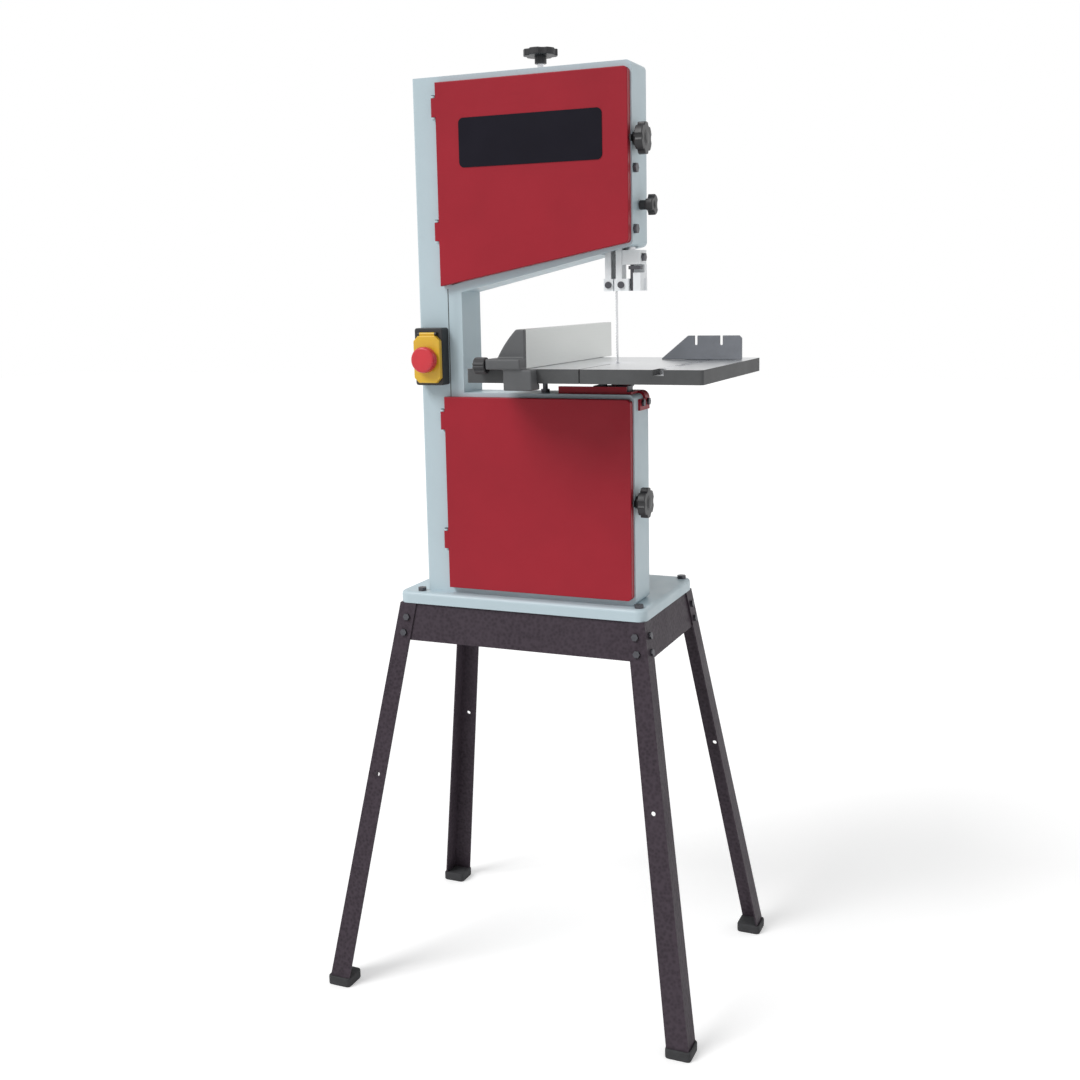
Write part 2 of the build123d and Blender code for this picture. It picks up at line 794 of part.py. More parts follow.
# ---------- Door latches ----------
for latch_name, height in latch_heights.items():
    with BuildPart() as latch:
        pawl_x = case_right + free_gap
        stem_x = pawl_x + pawl_sheet
        knob_x = stem_x + latch_stem_length
        pawl_end = door_front + pawl_past_door
        with BuildSketch(Plane.YZ.offset(case_right - case_sheet - free_gap)):
            with Locations((latch_y, height)):
                Circle(latch_shaft_radius)
        extrude(amount=knob_x - case_right + case_sheet + free_gap)
        with BuildSketch(Plane.YZ.offset(case_right - case_sheet - free_gap - latch_washer)):
            with Locations((latch_y, height)):
                Circle(latch_shaft_radius + latch_washer_rim)
        extrude(amount=latch_washer)
        with BuildSketch(Plane.YZ.offset(pawl_x)):
            with Locations(((latch_y + pawl_end) / 2, height)):
                Rectangle(latch_y - pawl_end, pawl_width)
            with Locations((latch_y, height)):
                Circle(latch_stem_radius)
        extrude(amount=pawl_sheet)
        with BuildSketch(Plane.YZ.offset(stem_x)):
            with Locations((latch_y, height)):
                Circle(latch_stem_radius)
        extrude(amount=latch_stem_length)
        knob_plane = Plane((knob_x, latch_y, height), x_dir=(0, 1, 0), z_dir=(1, 0, 0))
        add(lobed_knob(knob_plane, latch_radius, latch_thickness, 6, 7.0))
    save(latch, latch_name)

# ---------- Wheels ----------
rim_radius = wheel_radius - tyre_thickness
hub_front = wheel_y - hub_length / 2
hub_back = wheel_y + hub_length / 2
pulley_back = hub_back + pulley_width
pulley_flange = 1.2
pulley_rim = 3.0


def spoked_wheel(z):
    """Cast wheel: rim, pierced web and hub, bored for its bearings from the front."""
    with BuildPart() as wheel:
        with BuildSketch(facing_front(wheel_y + wheel_width / 2)):
            with Locations((wheel_x, z)):
                Circle(rim_radius)
                Circle(rim_radius - rim_thickness, mode=Mode.SUBTRACT)
        extrude(amount=wheel_width)
        with BuildSketch(facing_front(wheel_y + web_thickness / 2)):
            with Locations((wheel_x, z)):
                Circle(rim_radius - rim_thickness)
                with PolarLocations(spoke_hole_circle, spoke_hole_count):
                    Circle(spoke_hole_radius, mode=Mode.SUBTRACT)
        extrude(amount=web_thickness)
        with BuildSketch(facing_front(hub_back)):
            with Locations((wheel_x, z)):
                Circle(hub_radius)
        extrude(amount=hub_length)
    return wheel.part


def pulley(x, z, radius):
    """Flat belt pulley with two thin flanges, behind the wheel."""
    with BuildPart() as ring:
        with BuildSketch(facing_front(pulley_back)):
            with Locations((x, z)):
                Circle(radius)
        extrude(amount=pulley_width)
        for y in (hub_back + pulley_flange, pulley_back):
            with BuildSketch(facing_front(y)):
                with Locations((x, z)):
                    Circle(radius + pulley_rim)
            extrude(amount=pulley_flange)
    return ring.part


with BuildPart() as lower_wheel:
    add(spoked_wheel(lower_z))
    add(pulley(wheel_x, lower_z, wheel_pulley_radius))
    with BuildSketch(facing_front(pulley_back)):
        with Locations((wheel_x, lower_z)):
            Circle(axle_radius + 1.5)
    extrude(amount=pulley_back - hub_front, mode=Mode.SUBTRACT)
    for y in (pulley_back, hub_front + bearing_width):
        with BuildSketch(facing_front(y)):
            with Locations((wheel_x, lower_z)):
                Circle(bearing_radius)
        extrude(amount=bearing_width, mode=Mode.SUBTRACT)
save(lower_wheel, "lower_wheel")

with BuildPart() as upper_wheel:
    add(spoked_wheel(upper_z))
    with BuildSketch(facing_front(hub_back)):
        with Locations((wheel_x, upper_z)):
            Circle(axle_radius + 1.5)
    extrude(amount=hub_length, mode=Mode.SUBTRACT)
    for y in (hub_back, hub_front + bearing_width):
        with BuildSketch(facing_front(y)):
            with Locations((wheel_x, upper_z)):
                Circle(bearing_radius)
        extrude(amount=bearing_width, mode=Mode.SUBTRACT)
save(upper_wheel, "upper_wheel")

for name, z, back in (("lower", lower_z, pulley_back), ("upper", upper_z, hub_back)):
    with BuildPart() as tyre:
        with BuildSketch(facing_front(wheel_y + wheel_width / 2)):
            with Locations((wheel_x, z)):
                Circle(wheel_radius)
                Circle(rim_radius, mode=Mode.SUBTRACT)
        extrude(amount=wheel_width)
    save(tyre, f"{name}_tyre")

    with BuildPart() as bearings:
        for y in (back, hub_front + bearing_width):
            with BuildSketch(facing_front(y)):
                with Locations((wheel_x, z)):
                    Circle(bearing_radius)
                    Circle(axle_radius + run_fit, mode=Mode.SUBTRACT)
            extrude(amount=bearing_width)
    save(bearings, f"{name}_bearings")

cap_radius = 11.0
cap_thickness = 3.0
flange_radius = 24.0
flange_sheet = 6.0
cap_front = hub_front - free_gap - cap_thickness

with BuildPart() as lower_axle:
    with BuildSketch(facing_front(case_back)):
        with Locations((wheel_x, lower_z)):
            Circle(axle_radius)
    extrude(amount=case_back - cap_front)
    with BuildSketch(facing_front(cap_front + cap_thickness)):
        with Locations((wheel_x, lower_z)):
            Circle(cap_radius)
    extrude(amount=cap_thickness)
    with BuildSketch(facing_front(case_back - case_sheet)):
        with Locations((wheel_x, lower_z)):
            Circle(cap_radius)
    extrude(amount=case_back - case_sheet - pulley_back - free_gap)
    with BuildSketch(facing_front(case_back + flange_sheet)):
        with Locations((wheel_x, lower_z)):
            Circle(flange_radius)
    extrude(amount=flange_sheet)
save(lower_axle, "lower_axle")

# ---------- Upper wheel's slide, tilt plate and tension screw ----------
tilt_axis_y = case_front + tilt_y
screw_y = case_front + tension_y
slide_back = case_back - case_sheet - free_gap
slide_front = slide_back - slide_sheet
barrel_radius = 3.5
barrel_half = 12.0
barrel_pin_radius = 2.0
ear_thickness = 5.0
tilt_front = hub_back + 2.0
tilt_sheet = 4.0
tilt_width = 40.0
tilt_height = 60.0
nut_low = upper_z + 40.0
nut_height = slide_height / 2 + 1.0 - 40.0

with BuildPart() as upper_axle:
    with BuildSketch(facing_front(tilt_front)):
        with Locations((wheel_x, upper_z)):
            Circle(axle_radius)
    extrude(amount=tilt_front - cap_front)
    with BuildSketch(facing_front(cap_front + cap_thickness)):
        with Locations((wheel_x, upper_z)):
            Circle(cap_radius)
    extrude(amount=cap_thickness)
    with BuildSketch(facing_front(tilt_front)):
        with Locations((wheel_x, upper_z)):
            Circle(cap_radius)
    extrude(amount=tilt_front - hub_back - free_gap)
    with BuildSketch(facing_front(tilt_front + tilt_sheet)):
        with Locations((wheel_x, upper_z)):
            Rectangle(tilt_width, tilt_height)
    extrude(amount=tilt_sheet)
    with BuildSketch(facing_front(tilt_axis_y)):
        with Locations((wheel_x, upper_z)):
            Rectangle(2 * barrel_half, 2 * barrel_radius)
    extrude(amount=tilt_axis_y - tilt_front - tilt_sheet)
    with BuildSketch(Plane.YZ.offset(wheel_x)):
        with Locations((tilt_axis_y, upper_z)):
            Circle(barrel_radius)
    extrude(amount=barrel_half, both=True)
    with BuildSketch(Plane.YZ.offset(wheel_x)):
        with Locations((tilt_axis_y, upper_z)):
            Circle(barrel_pin_radius + run_fit)
    extrude(amount=barrel_half, both=True, mode=Mode.SUBTRACT)
save(upper_axle, "upper_axle")

with BuildPart() as tension_slide:
    with BuildSketch(facing_front(slide_back)):
        with Locations((wheel_x, upper_z)):
            Rectangle(slide_width, slide_height)
    extrude(amount=slide_sheet)
    ear_front = tilt_front + tilt_sheet + 2 * free_gap
    for side in (-1, 1):
        with BuildSketch(facing_front(slide_front)):
            with Locations((wheel_x + side * (barrel_half + free_gap + ear_thickness / 2), upper_z)):
                Rectangle(ear_thickness, 4 * barrel_radius)
        extrude(amount=slide_front - ear_front)
    with BuildSketch(Plane.YZ.offset(wheel_x)):
        with Locations((tilt_axis_y, upper_z)):
            Circle(barrel_pin_radius)
    extrude(amount=barrel_half + free_gap + ear_thickness, both=True)
    with BuildSketch(Plane.XY.offset(nut_low)):
        with Locations((wheel_x, (screw_y - 8 + slide_front) / 2)):
            Rectangle(24, slide_front - screw_y + 8)
    extrude(amount=nut_height)
    with BuildSketch(Plane.XY.offset(nut_low)):
        with Locations((wheel_x, screw_y)):
            Circle(screw_radius + run_fit)
    extrude(amount=nut_height, mode=Mode.SUBTRACT)
    with BuildSketch(facing_front(slide_back)):
        with Locations((wheel_x, tracking_z)):
            Circle(tracking_radius + run_fit)
    extrude(amount=slide_sheet, mode=Mode.SUBTRACT)
save(tension_slide, "tension_slide")

spring_radius = screw_radius + free_gap + spring_wire / 2
spring_height = 26.0
spring_base = nut_low + nut_height + spring_wire / 2
with BuildPart() as tension_spring:
    with BuildLine(Plane((wheel_x, screw_y, spring_base))):
        spring_path = Helix(spring_height / spring_turns, spring_height, spring_radius)
    with BuildSketch(Plane(spring_path @ 0, z_dir=spring_path % 0)):
        Circle(spring_wire / 2)
    sweep(path=spring_path)
save(tension_spring, "tension_spring")

tension_knob_low = case_top + tension_rise
with BuildPart() as tension_screw:
    with BuildSketch(Plane.XY.offset(nut_low - 4)):
        with Locations((wheel_x, screw_y)):
            Circle(screw_radius)
    extrude(amount=tension_knob_low + tension_neck_length + 6 - nut_low + 4)
    with BuildSketch(Plane.XY.offset(case_top - case_sheet - free_gap)):
        with Locations((wheel_x, screw_y)):
            Circle(screw_radius + 3.5)
    extrude(amount=-5)
save(tension_screw, "tension_screw")

with BuildPart() as tension_knob:
    with BuildSketch(Plane.XY.offset(tension_knob_low)):
        with Locations((wheel_x, screw_y)):
            Circle(tension_neck_radius)
    extrude(amount=tension_neck_length)
    knob_plane = Plane((wheel_x, screw_y, tension_knob_low + tension_neck_length))
    add(lobed_knob(knob_plane, tension_knob_radius, tension_knob_thickness, 6, 8.0))
    with BuildSketch(Plane.XY.offset(tension_knob_low)):
        with Locations((wheel_x, screw_y)):
            Circle(screw_radius)
    extrude(amount=tension_neck_length + 6, mode=Mode.SUBTRACT)
save(tension_knob, "tension_knob")

tracking_tip = tilt_front + tilt_sheet + 0.8
with BuildPart() as tracking_knob:
    with BuildSketch(facing_front(tracking_tip)):
        with Locations((wheel_x, tracking_z)):
            Circle(tracking_radius)
    extrude(amount=-(case_back + 3 - tracking_tip))
    with BuildSketch(facing_front(case_back + 1)):
        with Locations((wheel_x, tracking_z)):
            Circle(tracking_radius + 4)
    extrude(amount=-2)
    knob_plane = Plane((wheel_x, case_back + 3, tracking_z), x_dir=(1, 0, 0), z_dir=(0, 1, 0))
    add(lobed_knob(knob_plane, tracking_knob_radius, tracking_knob_thickness, 6, 5.0))
save(tracking_knob, "tracking_knob")

# ---------- Blade, motor and belt ----------
with BuildPart() as blade:
    with BuildSketch(facing_front(wheel_y + blade_width / 2)):
        with Locations((wheel_x, (lower_z + upper_z) / 2)):
            outer_radius = band_radius + blade_thickness / 2
            inner_radius = band_radius - blade_thickness / 2
            SlotCenterToCenter(wheel_distance, 2 * outer_radius, rotation=90)
            SlotCenterToCenter(wheel_distance, 2 * inner_radius, rotation=90, mode=Mode.SUBTRACT)
    extrude(amount=blade_width)
save(blade, "blade")

motor_front = case_back + motor_flange_sheet
shaft_in_motor = 60.0
with BuildPart() as motor:
    with BuildSketch(facing_front(motor_front)):
        with Locations((motor_x, motor_z)):
            RectangleRounded(motor_flange, motor_flange, 10.0)
    extrude(amount=motor_flange_sheet)
    with BuildSketch(facing_front(motor_front + motor_neck)):
        with Locations((motor_x, motor_z)):
            Circle(motor_neck_radius)
    extrude(amount=motor_neck)
    with BuildSketch(facing_front(motor_front + motor_length)):
        with Locations((motor_x, motor_z)):
            Circle(motor_radius)
    extrude(amount=motor_length - motor_neck)
    fillet(motor.faces().sort_by(Axis.Y)[-1].edges(), 8.0)
    with BuildSketch(facing_front(motor_front + motor_length - 34)):
        with Locations((motor_x, motor_z)):
            with PolarLocations(motor_radius, 28):
                Rectangle(6.0, 2.0)
    extrude(amount=motor_length - 60)
    with BuildSketch(Plane.XY.offset(motor_z + motor_radius - 8)):
        with Locations((motor_x, motor_front + motor_length / 2 - 8)):
            RectangleRounded(62, 66, 6.0)
    extrude(amount=34)
    for spots, radius, depth in (
        ([(motor_x, motor_z)], motor_shaft_radius + run_fit, shaft_in_motor + motor_flange_sheet),
        (motor_bolt_spots, motor_bolt_radius + bolt_gap, motor_flange_sheet),
    ):
        with BuildSketch(facing_front(case_back + depth)):
            with Locations(*spots):
                Circle(radius)
        extrude(amount=depth, mode=Mode.SUBTRACT)
save(motor, "motor")

gland_z = motor_z + motor_radius + 13
gland_y = motor_front + motor_length / 2 - 8
with BuildPart() as cable_gland:
    with BuildSketch(Plane.YZ.offset(motor_x - 31)):
        with Locations((gland_y, gland_z)):
            RegularPolygon(10.0, 6)
            Circle(4.0, mode=Mode.SUBTRACT)
    extrude(amount=-6)
    with BuildSketch(Plane.YZ.offset(motor_x - 37)):
        with Locations((gland_y, gland_z)):
            Circle(8.0)
            Circle(4.0, mode=Mode.SUBTRACT)
    extrude(amount=-9)
    end_edges = cable_gland.edges().filter_by(GeomType.CIRCLE).group_by(Axis.X)[0]
    chamfer(end_edges.sort_by(SortBy.LENGTH)[-1:], 2.0)
save(cable_gland, "cable_gland")

with BuildPart() as motor_pulley:
    add(pulley(motor_x, motor_z, motor_pulley_radius))
    with BuildSketch(facing_front(motor_front + shaft_in_motor - 2)):
        with Locations((motor_x, motor_z)):
            Circle(motor_shaft_radius)
    extrude(amount=motor_front + shaft_in_motor - 2 - hub_back)
save(motor_pulley, "motor_pulley")

belt_gap = free_gap
belt_side = pulley_flange + free_gap
with BuildPart() as drive_belt:
    with BuildSketch(facing_front(pulley_back - belt_side)):
        for extra, mode in ((belt_gap + belt_thickness, Mode.ADD), (belt_gap, Mode.SUBTRACT)):
            with BuildSketch(mode=Mode.PRIVATE) as loop:
                with Locations((wheel_x, lower_z)):
                    Circle(wheel_pulley_radius + extra)
                with Locations((motor_x, motor_z)):
                    Circle(motor_pulley_radius + extra)
                make_hull()
            add(loop.sketch, mode=mode)
    extrude(amount=pulley_width - 2 * belt_side)
save(drive_belt, "drive_belt")

# ---------- Guide post and blade guides ----------
block_left = guard_right
block_right = block_left + guide_block_width
block_top = floor_z(block_left) - guide_block_under
block_low = block_top - guide_block_height
block_front = post_y_at - guide_block_depth / 2
block_back = post_y_at + guide_block_depth / 2
holder_low = block_low - holder_below_block
blade_back = wheel_y + blade_width / 2
rest_front = blade_back + 1.0             # front of the rest behind the blade
pin_z = holder_low + holder_height / 2
pin_spread = 12.0
holder_left = blade_x - 16.0
holder_right = holder_left + holder_width
side_block_left = block_right - 11.5
side_block_height = 26.5
bracket_right = case_right - case_sheet

with BuildPart() as post_bracket:
    bracket_height = bracket_low + bracket_high
    bracket_mid = upper_z + (bracket_high - bracket_low) / 2
    with BuildSketch(Plane.YZ.offset(bracket_right)):
        with Locations(((case_front + case_depth - case_sheet - 0.5 + case_front + 3.0) / 2, bracket_mid)):
            RectangleRounded(case_depth - case_sheet - 3.5, bracket_height, 3.0)
    extrude(amount=-bracket_plate)
    with BuildSketch(Plane.YZ.offset(bracket_right)):
        with Locations((post_y_at, bracket_mid)):
            Rectangle(2 * (post_radius + 4), bracket_height - 8)
    extrude(amount=-bracket_thickness)
    with BuildSketch(Plane.XY.offset(upper_z - bracket_low)):
        with Locations((post_x, post_y_at)):
            Circle(post_radius + run_fit)
    extrude(amount=bracket_height, mode=Mode.SUBTRACT)
    with BuildSketch(Plane.YZ.offset(bracket_right)):
        with Locations((lock_y, lock_z)):
            Circle(stud_radius + run_fit)
        with Locations(*[(bracket_bolt_y, height) for height in bracket_bolt_heights]):
            Circle(base_bolt_radius)
    extrude(amount=-(bracket_right - post_x - 2), mode=Mode.SUBTRACT)
save(post_bracket, "post_bracket")

with BuildPart() as guide_post:
    with BuildSketch(Plane.XY.offset(block_low + 3)):
        with Locations((post_x, post_y_at)):
            Circle(post_radius)
    extrude(amount=post_length)
    chamfer(guide_post.edges().group_by(Axis.Z)[-1], 1.0)
save(guide_post, "guide_post")

with BuildPart() as post_lock_knob:
    with BuildSketch(Plane.YZ.offset(post_x + post_radius + 1.0)):
        with Locations((lock_y, lock_z)):
            Circle(stud_radius)
    extrude(amount=case_right + 3 - post_x - post_radius - 1.0)
    with BuildSketch(Plane.YZ.offset(case_right + 1.0)):
        with Locations((lock_y, lock_z)):
            Circle(7.0)
    extrude(amount=14.0)
    knob_plane = Plane((case_right + 13.0, lock_y, lock_z), x_dir=(0, 1, 0), z_dir=(1, 0, 0))
    add(lobed_knob(knob_plane, lock_radius, 11.0, 3, 10.0))
save(post_lock_knob, "post_lock_knob")

with BuildPart() as upper_guide_block:
    with BuildSketch(Plane.XY.offset(block_low)):
        with Locations(((block_left + block_right) / 2, post_y_at)):
            RectangleRounded(guide_block_width, guide_block_depth, 2.0)
    extrude(amount=guide_block_height)
    with BuildSketch(Plane.XY.offset(holder_low)):
        with Locations(((side_block_left + block_right) / 2, post_y_at)):
            Rectangle(block_right - side_block_left, guide_block_depth)
    extrude(amount=side_block_height)
    with BuildSketch(Plane.XY.offset(holder_low)):
        with Locations(((holder_right + block_right) / 2, (rest_front + block_back) / 2)):
            Rectangle(block_right - holder_right, block_back - rest_front)
    extrude(amount=block_low - holder_low)
    with BuildSketch(Plane.XY.offset(holder_low)):
        with Locations(((holder_left + holder_right) / 2, (block_front + rest_front + 6) / 2)):
            RectangleRounded(holder_width, rest_front + 6 - block_front, 1.5)
        with Locations(((holder_right + block_right) / 2, rest_front + 3)):
            Rectangle(block_right - holder_right + 4, 6)
        with Locations((blade_x, (block_front + rest_front) / 2)):
            Rectangle(blade_slot, rest_front - block_front + 0.01, mode=Mode.SUBTRACT)
    extrude(amount=holder_height)
    with BuildSketch(Plane.XY.offset(block_low)):
        with Locations((post_x, post_y_at)):
            Circle(post_radius + run_fit)
    extrude(amount=guide_block_height, mode=Mode.SUBTRACT)
    with BuildSketch(facing_front(block_front + 12)):
        with Locations((blade_x - pin_spread + 4, pin_z), (blade_x + pin_spread, pin_z)):
            Circle(guide_pin_radius)
    extrude(amount=12, mode=Mode.SUBTRACT)
    with BuildSketch(facing_front(rest_front + 6)):
        with Locations((blade_x, pin_z)):
            Circle(thrust_pin_radius)
    extrude(amount=rest_front + 6 - blade_back, mode=Mode.SUBTRACT)
save(upper_guide_block, "upper_guide_block")

with BuildPart() as upper_guide_pins:
    with BuildSketch(facing_front(block_front + 12)):
        with Locations((blade_x - pin_spread + 4, pin_z), (blade_x + pin_spread, pin_z)):
            Circle(guide_pin_radius)
    extrude(amount=14.5)
    with BuildSketch(facing_front(rest_front + 6)):
        with Locations((blade_x, pin_z)):
            Circle(thrust_pin_radius)
    extrude(amount=rest_front + 6 - blade_back - free_gap)
    clamp_x = (holder_right + side_block_left) / 2
    with BuildSketch(Plane.XY.offset(holder_low)):
        with Locations((clamp_x, block_front + 6)):
            Circle(2.6)
    extrude(amount=block_low - holder_low)
    with BuildSketch(Plane.XY.offset(block_low - 7)):
        with Locations(((clamp_x - 4 + block_right) / 2, block_front + 6)):
            Rectangle(block_right - clamp_x + 4, 10)
    extrude(amount=5)
    with BuildSketch(Plane.YZ.offset(block_right)):
        with Locations((block_front + 10, block_low + guide_block_height / 2)):
            RegularPolygon(6.5, 6)
    extrude(amount=5)
save(upper_guide_pins, "upper_guide_pins")

with BuildPart() as blade_guard:
    with BuildSketch(Plane.XY.offset(holder_low + holder_height)):
        with Locations((blade_x, block_front + guard_depth / 2)):
            Rectangle(guard_right - guard_left, guard_depth)
            Rectangle(
                guard_right - guard_left - 2 * guard_sheet,
                guard_depth - 2 * guard_sheet,
                mode=Mode.SUBTRACT,
            )
        with Locations((blade_x, block_front)):
            Rectangle(guard_gap, 4 * guard_sheet, mode=Mode.SUBTRACT)
    extrude(amount=guard_height)
save(blade_guard, "blade_guard")

guide_foot_front = wheel_y - 11.0
with BuildPart() as lower_guides:
    with BuildSketch(Plane.XY.offset(lower_case_top)):
        foot_x = blade_x + (guide_foot_right - guide_foot_left) / 2
        with Locations((foot_x, guide_foot_front + guide_foot_depth / 2)):
            RectangleRounded(guide_foot_left + guide_foot_right, guide_foot_depth, 2.0)
        with Locations((blade_x, guide_foot_front + 8)):
            Rectangle(blade_slot, 17, mode=Mode.SUBTRACT)
        with Locations((guide_bolt_x, wheel_y)):
            Circle(base_bolt_radius + bolt_gap, mode=Mode.SUBTRACT)
    extrude(amount=guide_foot_height)
save(lower_guides, "lower_guides")

# ---------- Table ----------
table_x = (table_left + table_right) / 2
table_y = (table_front + table_back) / 2
table_width = table_right - table_left
mitre_x = blade_x + mitre_right_of_blade
groove_wall = 6.0
ledge_width = 4.0
trunnion_front = case_front + trunnion_y
trunnion_back = trunnion_front + trunnion_sheet
trunnion_pad = 6.0
trunnion_pad_back = case_front + strap_back

with BuildPart() as table:
    with BuildSketch(Plane.XY.offset(table_top)):
        with Locations((table_x, table_y)):
            RectangleRounded(table_width, table_depth, 5.0)
    extrude(amount=-table_edge)
    with BuildSketch(Plane.XY.offset(table_top - table_edge)):
        with Locations((table_x, table_y)):
            Rectangle(table_width - 2 * table_rim, table_depth - 2 * table_rim)
    extrude(amount=table_edge - table_sheet, mode=Mode.SUBTRACT)
    with BuildSketch(Plane.XY.offset(table_top - table_sheet)):
        with Locations((mitre_x, table_y)):
            Rectangle(mitre_groove_width + 2 * groove_wall, table_depth - table_rim)
    extrude(amount=-mitre_groove_depth)
    for rib_y in (case_front - 45.0, case_back + 45.0):
        with BuildSketch(Plane.XY.offset(table_top - table_sheet)):
            with Locations((table_x, rib_y)):
                Rectangle(table_width - table_rim, table_rib)
        extrude(amount=-(table_edge - table_sheet) * 0.7)
    with BuildSketch(Plane.XY.offset(table_top)):
        with Locations((mitre_x, table_y)):
            Rectangle(mitre_groove_width, table_depth + 2)
    extrude(amount=-mitre_groove_depth, mode=Mode.SUBTRACT)
    with BuildSketch(Plane.XY.offset(table_top)):
        with Locations((blade_x, wheel_y)):
            Circle(insert_radius + run_fit)
    extrude(amount=-insert_thickness, mode=Mode.SUBTRACT)
    with BuildSketch(Plane.XY.offset(table_top)):
        with Locations((blade_x, wheel_y)):
            Circle(insert_radius - ledge_width)
        with Locations((blade_x, (table_front - 1 + wheel_y) / 2)):
            Rectangle(saw_cut, wheel_y - table_front + 1)
    extrude(amount=-table_edge, mode=Mode.SUBTRACT)
save(table, "table")

with BuildPart() as table_insert:
    with BuildSketch(Plane.XY.offset(table_top - insert_thickness)):
        with Locations((blade_x, wheel_y)):
            Circle(insert_radius)
        slot_x = blade_x + (insert_slot_right - insert_slot_left) / 2
        with Locations((slot_x, wheel_y)):
            Rectangle(insert_slot_left + insert_slot_right, blade_width + 6, mode=Mode.SUBTRACT)
    extrude(amount=insert_thickness)
save(table_insert, "table_insert")

with BuildPart() as table_trunnion:
    with BuildSketch(facing_front(trunnion_back)):
        with Locations((blade_x, table_top)):
            Circle(trunnion_radius)
        with Locations((blade_x, table_top - table_sheet + trunnion_radius)):
            Rectangle(4 * trunnion_radius, 2 * trunnion_radius, mode=Mode.SUBTRACT)
        with BuildLine(mode=Mode.PRIVATE):
            slot_arc = CenterArc((blade_x, table_top), arc_radius, -92, tilt_max + 4)
        SlotArc(slot_arc, 2 * (stud_radius + free_gap), mode=Mode.SUBTRACT)
    extrude(amount=trunnion_sheet)
    with BuildSketch(Plane.XY.offset(table_top - table_sheet)):
        with Locations((blade_x, (trunnion_front + trunnion_pad_back) / 2)):
            Rectangle(2 * trunnion_radius + 4, trunnion_pad_back - trunnion_front)
        with Locations((blade_x, wheel_y)):
            Circle(insert_radius - ledge_width, mode=Mode.SUBTRACT)
    extrude(amount=-trunnion_pad)
save(table_trunnion, "table_trunnion")

upright_front = trunnion_front - free_gap - upright_sheet
stud_z = table_top - arc_radius
with BuildPart() as trunnion_bracket:
    with BuildSketch(facing_front(case_front + strap_back)):
        strap_left = blade_x - strap_left_of_blade
        strap_right = case_right + strap_sheet
        strap_top = lower_case_top + strap_sheet
        strap_low = lower_case_top - strap_drop
        with BuildLine():
            Line((strap_left, lower_case_top), (strap_left, strap_top))
            Line((strap_left, strap_top), (case_right - case_round, strap_top))
            CenterArc((case_right - case_round, lower_case_top - case_round), case_round + strap_sheet, 0, 90)
            Line((strap_right, lower_case_top - case_round), (strap_right, strap_low))
            Line((strap_right, strap_low), (case_right, strap_low))
            Line((case_right, strap_low), (case_right, lower_case_top - case_round))
            CenterArc((case_right - case_round, lower_case_top - case_round), case_round, 0, 90)
            Line((case_right - case_round, lower_case_top), (strap_left, lower_case_top))
        make_face()
    extrude(amount=case_front + strap_back - upright_front)
    shelf_y = case_front + shelf_front
    notch_left = blade_x - guide_foot_left - shelf_notch_gap
    notch_right = blade_x + guide_foot_right + shelf_notch_gap
    notch_front = guide_foot_front - shelf_notch_gap
    with BuildSketch(Plane.XY.offset(lower_case_top)):
        with BuildLine():
            Polyline(
                (strap_left, shelf_y),
                (notch_right + strap_sheet * 2, shelf_y),
                (notch_right + strap_sheet * 2, upright_front + 1),
                (strap_left, upright_front + 1),
                close=True,
            )
        make_face()
        with Locations(((notch_left + notch_right) / 2, (notch_front + upright_front + 2) / 2)):
            Rectangle(notch_right - notch_left, upright_front + 2 - notch_front, mode=Mode.SUBTRACT)
    extrude(amount=strap_sheet)
    with BuildSketch(Plane.XY.offset(lower_case_top)):
        with Locations(((strap_left + blade_x + shelf_web_right) / 2, shelf_y + strap_sheet / 2)):
            Rectangle(blade_x + shelf_web_right - strap_left, strap_sheet)
    extrude(amount=shelf_web_height)
    with BuildSketch(Plane.YZ.offset(case_right)):
        lug_y = case_front + (strap_front + strap_back) / 2
        lug_top = lower_case_top - case_round
        with Locations((lug_y, (strap_low + lug_top) / 2)):
            Rectangle(strap_back - strap_front, lug_top - strap_low)
    extrude(amount=strap_sheet)
    with BuildSketch(facing_front(upright_front + upright_sheet)):
        with Locations((blade_x, (lower_case_top + stud_z) / 2)):
            Rectangle(2 * upright_half, stud_z - lower_case_top)
        with Locations((blade_x, stud_z)):
            Circle(upright_half * 0.6)
    extrude(amount=upright_sheet)
    with BuildSketch(facing_front(upright_front + upright_sheet)):
        with Locations((blade_x, stud_z)):
            Circle(stud_radius + run_fit)
    extrude(amount=upright_sheet, mode=Mode.SUBTRACT)
    with BuildSketch(Plane.YZ.offset(case_right)):
        with Locations(*trunnion_bolt_spots):
            Circle(motor_bolt_radius + bolt_gap)
    extrude(amount=strap_sheet, mode=Mode.SUBTRACT)
save(trunnion_bracket, "trunnion_bracket")

tilt_knob_front = case_back + 1.5
with BuildPart() as tilt_lock_knob:
    with BuildSketch(facing_front(tilt_knob_front)):
        with Locations((blade_x, stud_z)):
            Circle(stud_radius)
    extrude(amount=tilt_knob_front - upright_front - 1)
    with BuildSketch(facing_front(tilt_knob_front)):
        with Locations((blade_x, stud_z)):
            Circle(stud_radius + 3)
    extrude(amount=tilt_knob_front - trunnion_back - free_gap)
    knob_plane = Plane((blade_x, tilt_knob_front, stud_z), x_dir=(1, 0, 0), z_dir=(0, 1, 0))
    add(lobed_knob(knob_plane, tilt_knob_radius, 12.0, 5, 5.0))
save(tilt_lock_knob, "tilt_lock_knob")

# ---------- Rip fence ----------
fence_right = blade_x - fence_left_of_blade
fence_left = fence_right - fence_thickness
fence_front = table_front - fence_front_overhang
fence_low = table_top + free_gap
fence_top = fence_low + fence_height
carriage_front = table_front - carriage_ahead
carriage_left = fence_right - carriage_width + 11.0
apron_back = table_front - free_gap
apron_right = fence_right + 16.0
apron_left = apron_right - carriage_apron_width

